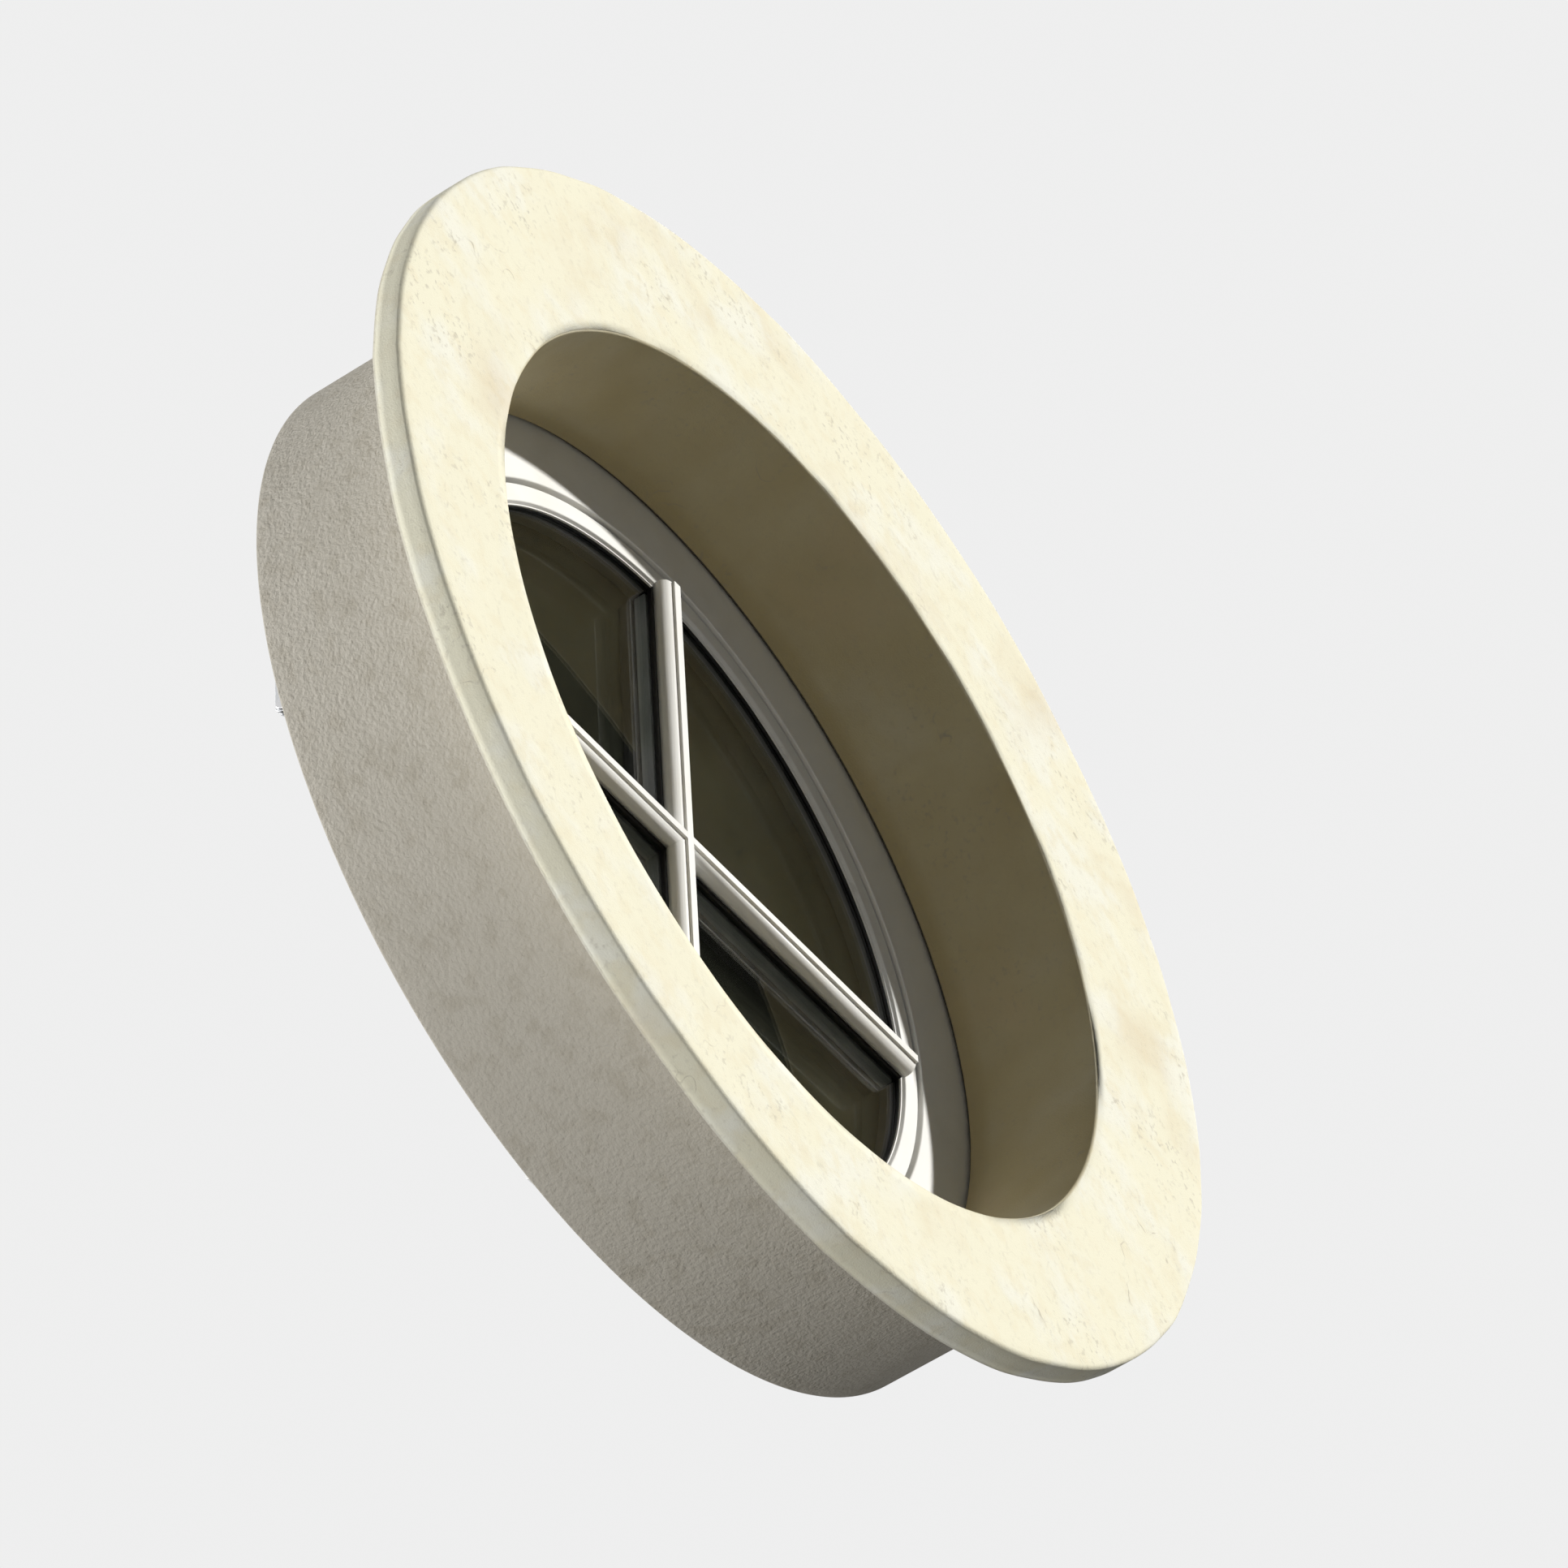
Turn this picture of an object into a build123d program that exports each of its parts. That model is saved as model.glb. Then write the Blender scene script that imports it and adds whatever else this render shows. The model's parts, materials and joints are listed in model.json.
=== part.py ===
from build123d import *

import math
import os

# Round window in a deep round reveal, in millimetres.
# X runs to the right seen from outside, Y into the building and Z up.
# The origin is on the window's axis, in the plane of the band's back.
# A depth is a place along Y: the outside has the low depths, the room the high ones.

# Surround: one cast piece, a flat band in front and the reveal behind it.
# The band's outer circle is struck from a centre above and to the right of the window's axis.
reveal_radius = 380.0
band_width = 140.0
band_shift_right = 10.0
band_shift_up = 22.0
band_thickness = 25.0
reveal_depth = 122.0
tube_thickness = 27.0
band_arris = 4.0

# Fixed frame, seated from the room against the shoulder, which covers its outer edge
frame_cover = 30.0
frame_rebate_wall = 55.0
frame_lip_width = 34.0
frame_depth = 65.0
frame_lip_depth = 20.0
frame_arris = 2.0
tape_thickness = 3.0
tape_inset = 4.0
packing_gap = 3.0
room_sealant_depth = 6.0

# Frame fixings, driven outwards from the frame's rebate into the surround
fixing_count = 4
fixing_first_angle = 45.0
fixing_radius = 4.0
fixing_head_radius = 7.5
fixing_head_height = 4.0
fixing_bite = 20.0
fixing_clearance = 0.1
packer_length = 46.0
packer_depth = 30.0
packer_offset = 40.0

# Opening sash: a nose in the frame's opening, a body behind the lip, a flange over the frame's room face
seam_gap = 3.0
sash_face_setback = 3.0
sash_seal_gap = 4.0
sash_rebate_gap = 12.0
sash_flange_overlap = 8.0
sash_flange_gap = 3.0
sash_flange_thickness = 10.0
sash_face_width = 16.0
sash_bevel_width = 1.5
sash_bevel_depth = 3.0
sash_step = 1.0
glazing_rebate_cover = 13.5
sash_glass_setback = 5.0

# Weather seals
seal_width = 6.0
seal_clearance = 0.3

# Sealed glass unit
pane_thickness = 4.0
cavity = 16.0
glass_edge_gap = 4.0
gasket_thickness = 3.0
spacer_width = 6.0
spacer_setback = 1.0
setting_block_length = 60.0
setting_block_angles = (55.0, 125.0, 235.0, 305.0)

# Glazing bead, on the room side
bead_front_height = 24.0
bead_back_width = 8.0
bead_setback = 3.0

# Glazing bars, planted on both faces of the glass, with spacer bars between the panes
bar_nose_width = 10.0
bar_nose_step = 3.0
bar_ovolo_radius = 9.5
bar_base_step = 10.0
bar_end_gap = 0.3
spacer_bar_width = 16.0
spacer_bar_depth = 11.0

# Hinges at the foot of the sash
hinge_offset = 60.0
hinge_width = 50.0
knuckle_radius = 6.0
knuckle_gap = 0.2
middle_knuckle_length = 20.0
leaf_thickness = 3.0
hinge_pin_radius = 3.0
hinge_pin_head_radius = 4.5
hinge_pin_head_height = 2.0
running_clearance = 0.05
hinge_drop = 9.0
hinge_rise = 10.0
hinge_web = 5.0
frame_leaf_length = 26.0
sash_leaf_length = 43.0
leaf_to_knuckle = 1.0

# Folding stays at the two sides
stay_height = 120.0
stay_arm_length = 230.0
stay_arm_width = 16.0
stay_thickness = 3.0
stay_gap = 0.5
stay_flange_gap = 8.0
stay_foot_length = 40.0
stay_edge_margin = 1.5
sash_foot_reach = 52.0
stay_rivet_radius = 4.0
stay_rivet_head_radius = 6.5
stay_rivet_head_height = 2.0
knee_clearance = 1.2

# Turning handle at the top of the sash, and its keeper on the frame
handle_inset = 25.0
handle_base_width = 34.0
handle_base_height = 44.0
handle_base_thickness = 4.0
handle_base_corner = 11.0
handle_gap = 0.5
handle_hub_radius = 13.0
handle_hub_height = 11.5
handle_rivet_radius = 5.0
handle_rivet_head_radius = 8.0
handle_rivet_head_height = 2.0
spur_length = 50.0
spur_thickness = 6.5
spur_root_width = 18.0
spur_tip_width = 12.0
lever_length = 105.0
lever_root_width = 14.0
lever_tip_width = 20.0
lever_thickness = 7.0
lever_rise = 12.0
keeper_width = 32.0
keeper_thickness = 3.0
keeper_hook_thickness = 3.5
keeper_engagement = 12.0
keeper_end_gap = 10.0
keeper_hook_gap = 1.0
keeper_foot_below = 2.0
keeper_foot_above = 6.0

# Depths, from the outside to the room
band_front = -band_thickness
band_back = 0.0
shoulder = band_front + reveal_depth
frame_front = shoulder + tape_thickness
frame_stop = frame_front + frame_lip_depth
frame_back = frame_front + frame_depth
sash_front = frame_front + sash_face_setback
sash_body_front = frame_stop + sash_seal_gap
sash_flange_front = frame_back + sash_flange_gap
sash_back = sash_flange_front + sash_flange_thickness
glazing_stop = sash_front + sash_glass_setback
glass_front = glazing_stop + gasket_thickness
cavity_front = glass_front + pane_thickness
cavity_back = cavity_front + cavity
glass_back = cavity_back + pane_thickness
bead_front = glass_back + gasket_thickness
bead_back = sash_back - bead_setback

# Radii, from the outside of the band to the glass
band_radius = reveal_radius + band_width
frame_radius = reveal_radius + frame_cover
surround_rebate_radius = frame_radius + packing_gap
tube_radius = surround_rebate_radius + tube_thickness
frame_rebate_radius = frame_radius - frame_rebate_wall
frame_opening_radius = frame_rebate_radius - frame_lip_width
sash_flange_radius = frame_rebate_radius + sash_flange_overlap
sash_body_radius = frame_rebate_radius - sash_rebate_gap
sash_nose_radius = frame_opening_radius - seam_gap
sash_inner_edge = sash_nose_radius - sash_face_width
sight_radius = sash_inner_edge - sash_bevel_width - sash_step
glazing_rebate_radius = sight_radius + glazing_rebate_cover
glass_radius = glazing_rebate_radius - glass_edge_gap
spacer_inner_radius = sight_radius + spacer_setback
spacer_outer_radius = spacer_inner_radius + spacer_width
bar_end_radius = sight_radius - bar_end_gap
bar_base_width = bar_nose_width + 2 * bar_ovolo_radius
bar_height = bar_base_step + bar_ovolo_radius + bar_nose_step

# The tilting axis and what is set out from it
axis_depth = sash_back + hinge_rise
axis_height = -sash_flange_radius - hinge_drop
handle_height = sash_flange_radius - handle_inset
sash_arm_near = sash_flange_radius + stay_flange_gap
frame_arm_near = sash_arm_near + stay_thickness + stay_gap
frame_ear_near = frame_arm_near + stay_thickness + stay_gap
sash_ear_near = sash_arm_near - stay_gap - stay_thickness
knee_height = stay_height - stay_arm_length
stay_eye_radius = stay_arm_width / 2

sides = {"left": -1, "right": 1}


def facing(depth):
    """A plane parallel to the window: x right and z up seen from outside, its normal outwards."""
    return Plane.XZ.offset(-depth)


def radial(angle, radius, depth):
    """A plane square to the window's radius at an angle, its normal pointing away from the axis."""
    turn = math.radians(angle)
    outwards = (math.cos(turn), 0, math.sin(turn))
    origin = (radius * outwards[0], depth, radius * outwards[2])
    return Plane(origin=origin, x_dir=(0, 1, 0), z_dir=outwards)


def turned(outline):
    """A full ring turned round the window's axis from an outline of radius and depth."""
    with BuildPart() as ring:
        with BuildSketch(Plane.XY):
            with BuildLine():
                Polyline(*outline, close=True)
            make_face()
        revolve(axis=Axis.Y)
    return ring


def box_outline(inner, outer, front, back):
    """The four corners of a plain rectangular ring section."""
    return [(inner, front), (outer, front), (outer, back), (inner, back)]


def finish(piece, label):
    """Name the piece and write it."""
    piece.part.label = label
    export_step(piece.part, "parts/" + label + ".step")


os.makedirs("parts", exist_ok=True)


# Surround
# The band is the part that shows, and the tube behind it is built in.
# The shoulder at the back of the reveal is what the window frame bears on.
with BuildPart() as surround:
    with BuildSketch(facing(band_back)):
        with Locations((band_shift_right, band_shift_up)):
            Circle(band_radius)
        Circle(reveal_radius, mode=Mode.SUBTRACT)
    extrude(amount=band_thickness)
    chamfer(surround.edges().group_by(Axis.Y)[0], length=band_arris)
    with BuildSketch(Plane.XY):
        with BuildLine():
            Polyline(
                (reveal_radius, band_back),
                (tube_radius, band_back),
                (tube_radius, frame_back),
                (surround_rebate_radius, frame_back),
                (surround_rebate_radius, shoulder),
                (reveal_radius, shoulder),
                close=True,
            )
        make_face()
    revolve(axis=Axis.Y)

# Screw holes of the frame's fixings, blind in the tube
fixing_depth = (frame_stop + frame_back) / 2
fixing_angles = [fixing_first_angle + 360 * index / fixing_count for index in range(fixing_count)]
with surround:
    for fixing_angle in fixing_angles:
        with BuildSketch(radial(fixing_angle, surround_rebate_radius, fixing_depth)):
            Circle(fixing_radius + fixing_clearance)
        extrude(amount=fixing_bite, both=True, mode=Mode.SUBTRACT)
finish(surround, "surround")


# Fixed frame
# An L section: the lip covers the edge of the sash outside, the rebate receives it from the room.
with BuildPart() as frame_ring:
    with BuildSketch(Plane.XY):
        with BuildLine():
            Polyline(
                (frame_opening_radius, frame_front),
                (frame_radius, frame_front),
                (frame_radius, frame_back),
                (frame_rebate_radius, frame_back),
                (frame_rebate_radius, frame_stop),
                (frame_opening_radius, frame_stop),
                close=True,
            )
        frame_face = make_face()
        lip_edge = frame_face.vertices().group_by(Axis.X)[0].sort_by(Axis.Y)[0]
        chamfer(lip_edge, length=frame_arris)
    revolve(axis=Axis.Y)
    for fixing_angle in fixing_angles:
        with BuildSketch(radial(fixing_angle, frame_rebate_radius, fixing_depth)):
            Circle(fixing_radius + fixing_clearance)
        extrude(amount=frame_radius - frame_rebate_radius + fixing_head_height, mode=Mode.SUBTRACT)
        with BuildSketch(radial(fixing_angle, frame_rebate_radius, fixing_depth)):
            Circle(fixing_head_radius + fixing_clearance)
        extrude(amount=fixing_head_height, both=True, mode=Mode.SUBTRACT)
finish(frame_ring, "frame_ring")


# Compressed tape between the frame and the shoulder: the dark line at the back of the reveal
frame_tape = turned(
    box_outline(reveal_radius + tape_inset, frame_radius - tape_inset, shoulder, frame_front)
)
finish(frame_tape, "frame_tape")


# Sealant in the packing gap, flush with the frame's room face
room_sealant = turned(
    box_outline(frame_radius, surround_rebate_radius, frame_back - room_sealant_depth, frame_back)
)
finish(room_sealant, "room_sealant")


# Packers that centre the frame in the surround, one on each side of each fixing
packer_arc = math.degrees(packer_length / frame_radius)
packer_turn = math.degrees(packer_offset / frame_radius)
packer_front = fixing_depth - packer_depth / 2
packer_back = fixing_depth + packer_depth / 2
with BuildPart() as frame_packers:
    for fixing_angle in fixing_angles:
        for packer_angle in (fixing_angle - packer_turn, fixing_angle + packer_turn):
            # A turn about Y runs from Z to X, so an angle measured from X to Z is negative.
            first_edge = Plane.XY.rotated((0, -packer_angle - packer_arc / 2, 0))
            with BuildSketch(first_edge):
                with BuildLine():
                    Polyline(
                        *box_outline(frame_radius, surround_rebate_radius, packer_front, packer_back),
                        close=True,
                    )
                make_face()
            revolve(axis=Axis.Y, revolution_arc=packer_arc)
finish(frame_packers, "frame_packers")


# Frame fixings: heads sunk in the rebate, shanks through the frame into the surround
fixing_length = surround_rebate_radius + fixing_bite - frame_rebate_radius
with BuildPart() as frame_screws:
    for fixing_angle in fixing_angles:
        head_plane = radial(fixing_angle, frame_rebate_radius, fixing_depth)
        with BuildSketch(head_plane):
            Circle(fixing_head_radius)
        extrude(amount=fixing_head_height)
        with BuildSketch(head_plane):
            Circle(fixing_radius)
        extrude(amount=fixing_length - fixing_clearance)
finish(frame_screws, "frame_screws")


# Weather seal on the back of the frame's lip, which the sash closes on
frame_seal_radius = (frame_opening_radius + sash_body_radius) / 2
frame_weather_seal = turned(
    box_outline(
        frame_seal_radius - seal_width / 2,
        frame_seal_radius + seal_width / 2,
        frame_stop,
        sash_body_front - seal_clearance,
    )
)
finish(frame_weather_seal, "frame_weather_seal")


# Sash
# The nose fills the frame's opening, the body lies behind the lip, and the flange laps the room face.
sash_ring = turned(
    [
        (sash_inner_edge, sash_front),
        (sash_nose_radius, sash_front),
        (sash_nose_radius, sash_body_front),
        (sash_body_radius, sash_body_front),
        (sash_body_radius, sash_flange_front),
        (sash_flange_radius, sash_flange_front),
        (sash_flange_radius, sash_back),
        (glazing_rebate_radius, sash_back),
        (glazing_rebate_radius, glazing_stop),
        (sight_radius, glazing_stop),
        (sight_radius, sash_front + sash_bevel_depth),
        (sight_radius + sash_step, sash_front + sash_bevel_depth),
    ]
)
finish(sash_ring, "sash_ring")


# Weather seal under the sash's flange
sash_seal_radius = frame_rebate_radius + sash_flange_overlap / 2
sash_weather_seal = turned(
    box_outline(
        sash_seal_radius - seal_width / 2,
        sash_seal_radius + seal_width / 2,
        frame_back + seal_clearance,
        sash_flange_front,
    )
)
finish(sash_weather_seal, "sash_weather_seal")


# Sealed glass unit: two panes, the spacer that parts them and the seal round their edge
outer_pane = turned(box_outline(0, glass_radius, glass_front, cavity_front))
inner_pane = turned(box_outline(0, glass_radius, cavity_back, glass_back))
spacer_ring = turned(box_outline(spacer_inner_radius, spacer_outer_radius, cavity_front, cavity_back))
edge_seal = turned(box_outline(spacer_outer_radius, glass_radius, cavity_front, cavity_back))
finish(outer_pane, "outer_pane")
finish(inner_pane, "inner_pane")
finish(spacer_ring, "spacer_ring")
finish(edge_seal, "edge_seal")


# Gaskets that the glass unit is pressed between
outer_gasket = turned(box_outline(sight_radius, glass_radius, glazing_stop, glass_front))
inner_gasket = turned(box_outline(sight_radius, glass_radius, glass_back, bead_front))
finish(outer_gasket, "outer_gasket")
finish(inner_gasket, "inner_gasket")


# Setting blocks in the gap round the edge of the glass unit
block_arc = math.degrees(setting_block_length / glass_radius)
with BuildPart() as setting_blocks:
    for block_angle in setting_block_angles:
        first_edge = Plane.XY.rotated((0, -block_angle - block_arc / 2, 0))
        with BuildSketch(first_edge):
            with BuildLine():
                Polyline(
                    *box_outline(glass_radius, glazing_rebate_radius, glass_front, glass_back),
                    close=True,
                )
            make_face()
        revolve(axis=Axis.Y, revolution_arc=block_arc)
finish(setting_blocks, "setting_blocks")


# Glazing bead, sprung into the sash's rebate from the room, with a splayed face towards the glass
glazing_bead = turned(
    [
        (sight_radius, bead_front + bead_front_height),
        (sight_radius, bead_front),
        (glazing_rebate_radius, bead_front),
        (glazing_rebate_radius, bead_back),
        (glazing_rebate_radius - bead_back_width, bead_back),
    ]
)
finish(glazing_bead, "glazing_bead")


def bar_profile(base_depth, outwards):
    """The outline across a glazing bar: a square base, two ovolos and a flat nose.

    outwards is -1 on the outer face of the glass and 1 on the inner face.
    """
    half_base = bar_base_width / 2
    half_nose = bar_nose_width / 2
    ovolo_foot = base_depth + outwards * bar_base_step
    ovolo_top = ovolo_foot + outwards * bar_ovolo_radius
    nose_top = ovolo_top + outwards * bar_nose_step
    with BuildLine() as outline:
        Polyline(
            (-half_base, ovolo_foot),
            (-half_base, base_depth),
            (half_base, base_depth),
            (half_base, ovolo_foot),
        )
        RadiusArc((half_base, ovolo_foot), (half_nose, ovolo_top), -outwards * bar_ovolo_radius)
        Polyline(
            (half_nose, ovolo_top),
            (half_nose, nose_top),
            (-half_nose, nose_top),
            (-half_nose, ovolo_top),
        )
        RadiusArc((-half_nose, ovolo_top), (-half_base, ovolo_foot), -outwards * bar_ovolo_radius)
    return outline.line


# Glazing bars
# The upright runs through. The two cross pieces are coped over it, so the mouldings meet in mitre lines.
across_window = Plane(origin=(0, 0, 0), x_dir=(0, 0, 1), z_dir=(-1, 0, 0))
bar_faces = {"outer": (glass_front, -1), "inner": (glass_back, 1)}
for face_name, (base_depth, outwards) in bar_faces.items():
    with BuildPart() as upright_bar:
        with BuildSketch(Plane.XY):
            add(bar_profile(base_depth, outwards))
            make_face()
        extrude(amount=glass_radius, both=True)
        with BuildSketch(facing(base_depth)):
            Circle(bar_end_radius)
        extrude(amount=bar_height, both=True, mode=Mode.INTERSECT)
    finish(upright_bar, face_name + "_bar_upright")
    for side_name, side in sides.items():
        with BuildPart() as cross_bar:
            with BuildSketch(across_window):
                add(bar_profile(base_depth, outwards))
                make_face()
            extrude(amount=-side * glass_radius)
            with BuildSketch(facing(base_depth)):
                Circle(bar_end_radius)
            extrude(amount=bar_height, both=True, mode=Mode.INTERSECT)
            add(upright_bar.part, mode=Mode.SUBTRACT)
        finish(cross_bar, face_name + "_bar_" + side_name)


# Spacer bars between the panes, behind the planted bars, butted against the spacer ring
spacer_bar_centre = (cavity_front + cavity_back) / 2
with BuildPart() as spacer_upright:
    with BuildSketch(Plane.XY):
        with Locations((0, spacer_bar_centre)):
            Rectangle(spacer_bar_width, spacer_bar_depth)
    extrude(amount=glass_radius, both=True)
    with BuildSketch(facing(cavity_back)):
        Circle(spacer_inner_radius)
    extrude(amount=cavity, mode=Mode.INTERSECT)
finish(spacer_upright, "spacer_bar_upright")
for side_name, side in sides.items():
    with BuildPart() as spacer_cross:
        with BuildSketch(across_window):
            with Locations((0, spacer_bar_centre)):
                Rectangle(spacer_bar_width, spacer_bar_depth)
        extrude(amount=-side * glass_radius)
        with BuildSketch(facing(cavity_back)):
            Circle(spacer_inner_radius)
        extrude(amount=cavity, mode=Mode.INTERSECT)
        add(spacer_upright.part, mode=Mode.SUBTRACT)
    finish(spacer_cross, "spacer_bar_" + side_name)


# Hinges
# Each leaf is cranked by a web.
# The frame leaf carries the two outer knuckles and the sash leaf the middle one.
outer_knuckle_length = (hinge_width - middle_knuckle_length) / 2 - knuckle_gap
for side_name, side in sides.items():
    hinge_start = side * hinge_offset - hinge_width / 2
    hinge_end = hinge_start + hinge_width
    middle_start = side * hinge_offset - middle_knuckle_length / 2
    with BuildPart() as frame_leaf:
        with BuildSketch(Plane.YZ.offset(hinge_start)):
            with Locations((frame_back, axis_height)):
                Rectangle(leaf_thickness, frame_leaf_length, align=(Align.MIN, Align.MAX))
        extrude(amount=hinge_width)
        for knuckle_start in (hinge_start, hinge_end - outer_knuckle_length):
            with BuildSketch(Plane.YZ.offset(knuckle_start)):
                with Locations((axis_depth, axis_height)):
                    Circle(knuckle_radius)
                with Locations((frame_back, axis_height - knuckle_radius)):
                    Rectangle(axis_depth - frame_back, hinge_web, align=(Align.MIN, Align.MIN))
            extrude(amount=outer_knuckle_length)
        with BuildSketch(Plane.YZ.offset(hinge_start)):
            with Locations((axis_depth, axis_height)):
                Circle(hinge_pin_radius + running_clearance)
        extrude(amount=hinge_width, mode=Mode.SUBTRACT)
    finish(frame_leaf, "hinge_frame_leaf_" + side_name)

    leaf_foot = axis_height + knuckle_radius + leaf_to_knuckle
    with BuildPart() as sash_leaf:
        with BuildSketch(Plane.YZ.offset(hinge_start)):
            with Locations((sash_back, leaf_foot)):
                Rectangle(leaf_thickness, sash_leaf_length, align=(Align.MIN, Align.MIN))
        extrude(amount=hinge_width)
        with BuildSketch(Plane.YZ.offset(middle_start)):
            with Locations((axis_depth, axis_height)):
                Circle(knuckle_radius)
            with Locations((sash_back, axis_height + knuckle_radius - hinge_web)):
                Rectangle(axis_depth - sash_back, hinge_web, align=(Align.MIN, Align.MIN))
                Rectangle(leaf_thickness, hinge_web + leaf_to_knuckle, align=(Align.MIN, Align.MIN))
        extrude(amount=middle_knuckle_length)
        with BuildSketch(Plane.YZ.offset(middle_start)):
            with Locations((axis_depth, axis_height)):
                Circle(hinge_pin_radius + running_clearance)
        extrude(amount=middle_knuckle_length, mode=Mode.SUBTRACT)
    finish(sash_leaf, "hinge_sash_leaf_" + side_name)

    with BuildPart() as hinge_pin:
        with BuildSketch(Plane.YZ.offset(hinge_start)):
            with Locations((axis_depth, axis_height)):
                Circle(hinge_pin_radius)
        extrude(amount=hinge_width)
        with BuildSketch(Plane.YZ.offset(hinge_end)):
            with Locations((axis_depth, axis_height)):
                Circle(hinge_pin_head_radius)
        extrude(amount=hinge_pin_head_height)
    finish(hinge_pin, "hinge_pin_" + side_name)


# Folding stays
# Two arms of one length hang side by side from eyes at one height, on the frame and on the sash,
# and are joined at the knee. As the sash tilts in, they spread like a pair of compasses.
frame_foot_far = math.sqrt(frame_radius**2 - stay_height**2) - stay_edge_margin
foot_low = stay_height - stay_foot_length


def stay_plane(side, near):
    """A plane square to the window's width, at a distance from its middle on one side."""
    return Plane.YZ.offset(side * near)


for side_name, side in sides.items():
    with BuildPart() as frame_bracket:
        with BuildSketch(stay_plane(side, frame_ear_near)):
            with Locations((axis_depth, stay_height)):
                Circle(stay_eye_radius)
            with Locations((frame_back, foot_low)):
                Rectangle(axis_depth - frame_back, stay_foot_length, align=(Align.MIN, Align.MIN))
            with Locations((axis_depth, stay_height)):
                Rectangle(stay_eye_radius, stay_eye_radius, align=(Align.MAX, Align.MIN))
        extrude(amount=side * stay_thickness)
        with BuildSketch(stay_plane(side, frame_ear_near)):
            with Locations((frame_back, foot_low)):
                Rectangle(stay_thickness, stay_foot_length, align=(Align.MIN, Align.MIN))
        extrude(amount=side * (frame_foot_far - frame_ear_near))
        with BuildSketch(stay_plane(side, frame_ear_near)):
            with Locations((axis_depth, stay_height)):
                Circle(stay_rivet_radius + running_clearance)
        extrude(amount=side * stay_thickness, mode=Mode.SUBTRACT)
    finish(frame_bracket, "stay_frame_bracket_" + side_name)

    sash_foot_far = sash_ear_near + stay_thickness
    with BuildPart() as sash_bracket:
        with BuildSketch(stay_plane(side, sash_ear_near)):
            with Locations((axis_depth, stay_height)):
                Circle(stay_eye_radius)
            with Locations((sash_back, stay_height)):
                Rectangle(axis_depth - sash_back, stay_arm_width, align=(Align.MIN, Align.CENTER))
        extrude(amount=side * stay_thickness)
        with BuildSketch(stay_plane(side, sash_foot_far)):
            with Locations((sash_back, stay_height)):
                Rectangle(stay_thickness, stay_arm_width, align=(Align.MIN, Align.CENTER))
        extrude(amount=-side * sash_foot_reach)
        with BuildSketch(stay_plane(side, sash_ear_near)):
            with Locations((axis_depth, stay_height)):
                Circle(stay_rivet_radius + running_clearance)
        extrude(amount=side * stay_thickness, mode=Mode.SUBTRACT)
    finish(sash_bracket, "stay_sash_bracket_" + side_name)

    # The sash arm's knee hole is the wide one: its play takes up what a steady ratio leaves over.
    knee_holes = {"frame": running_clearance, "sash": knee_clearance}
    arm_nears = {"frame": frame_arm_near, "sash": sash_arm_near}
    for arm_name, arm_near in arm_nears.items():
        with BuildPart() as arm:
            with BuildSketch(stay_plane(side, arm_near)):
                with Locations((axis_depth, (stay_height + knee_height) / 2)):
                    SlotCenterToCenter(stay_arm_length, stay_arm_width, rotation=90)
                with Locations((axis_depth, stay_height)):
                    Circle(stay_rivet_radius + running_clearance, mode=Mode.SUBTRACT)
                with Locations((axis_depth, knee_height)):
                    Circle(stay_rivet_radius + knee_holes[arm_name], mode=Mode.SUBTRACT)
            extrude(amount=side * stay_thickness)
        finish(arm, "stay_" + arm_name + "_arm_" + side_name)

    # Each top rivet is flush with its arm and has its head behind its bracket's ear.
    rivet_spans = {
        "frame": (frame_arm_near, frame_ear_near + stay_thickness, 1),
        "sash": (sash_arm_near + stay_thickness, sash_ear_near, -1),
    }
    for rivet_name, (flush_end, head_end, heading) in rivet_spans.items():
        with BuildPart() as rivet:
            with BuildSketch(stay_plane(side, flush_end)):
                with Locations((axis_depth, stay_height)):
                    Circle(stay_rivet_radius)
            extrude(amount=side * (head_end - flush_end))
            with BuildSketch(stay_plane(side, head_end)):
                with Locations((axis_depth, stay_height)):
                    Circle(stay_rivet_head_radius)
            extrude(amount=side * heading * stay_rivet_head_height)
        finish(rivet, "stay_" + rivet_name + "_rivet_" + side_name)

    knee_near = sash_arm_near - stay_gap
    knee_far = frame_arm_near + stay_thickness
    with BuildPart() as knee_pin:
        with BuildSketch(stay_plane(side, knee_near)):
            with Locations((axis_depth, knee_height)):
                Circle(stay_rivet_radius)
        extrude(amount=side * (knee_far - knee_near))
        for head_near, heading in ((knee_near, -1), (knee_far, 1)):
            with BuildSketch(stay_plane(side, head_near)):
                with Locations((axis_depth, knee_height)):
                    Circle(stay_rivet_head_radius)
            extrude(amount=side * heading * stay_rivet_head_height)
    finish(knee_pin, "stay_knee_pin_" + side_name)


# Turning handle
# Shown turned to the open position: its spur points right and its lever left, seen from outside.
handle_base_back = sash_back + handle_base_thickness
spur_front = handle_base_back + handle_gap
spur_back = spur_front + spur_thickness
hub_back = spur_front + handle_hub_height
lever_back = hub_back + lever_rise

with BuildPart() as handle_base:
    with BuildSketch(facing(handle_base_back)):
        with Locations((0, handle_height)):
            RectangleRounded(handle_base_width, handle_base_height, handle_base_corner)
            Circle(handle_rivet_radius, mode=Mode.SUBTRACT)
    extrude(amount=handle_base_thickness)
finish(handle_base, "handle_base")

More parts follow.
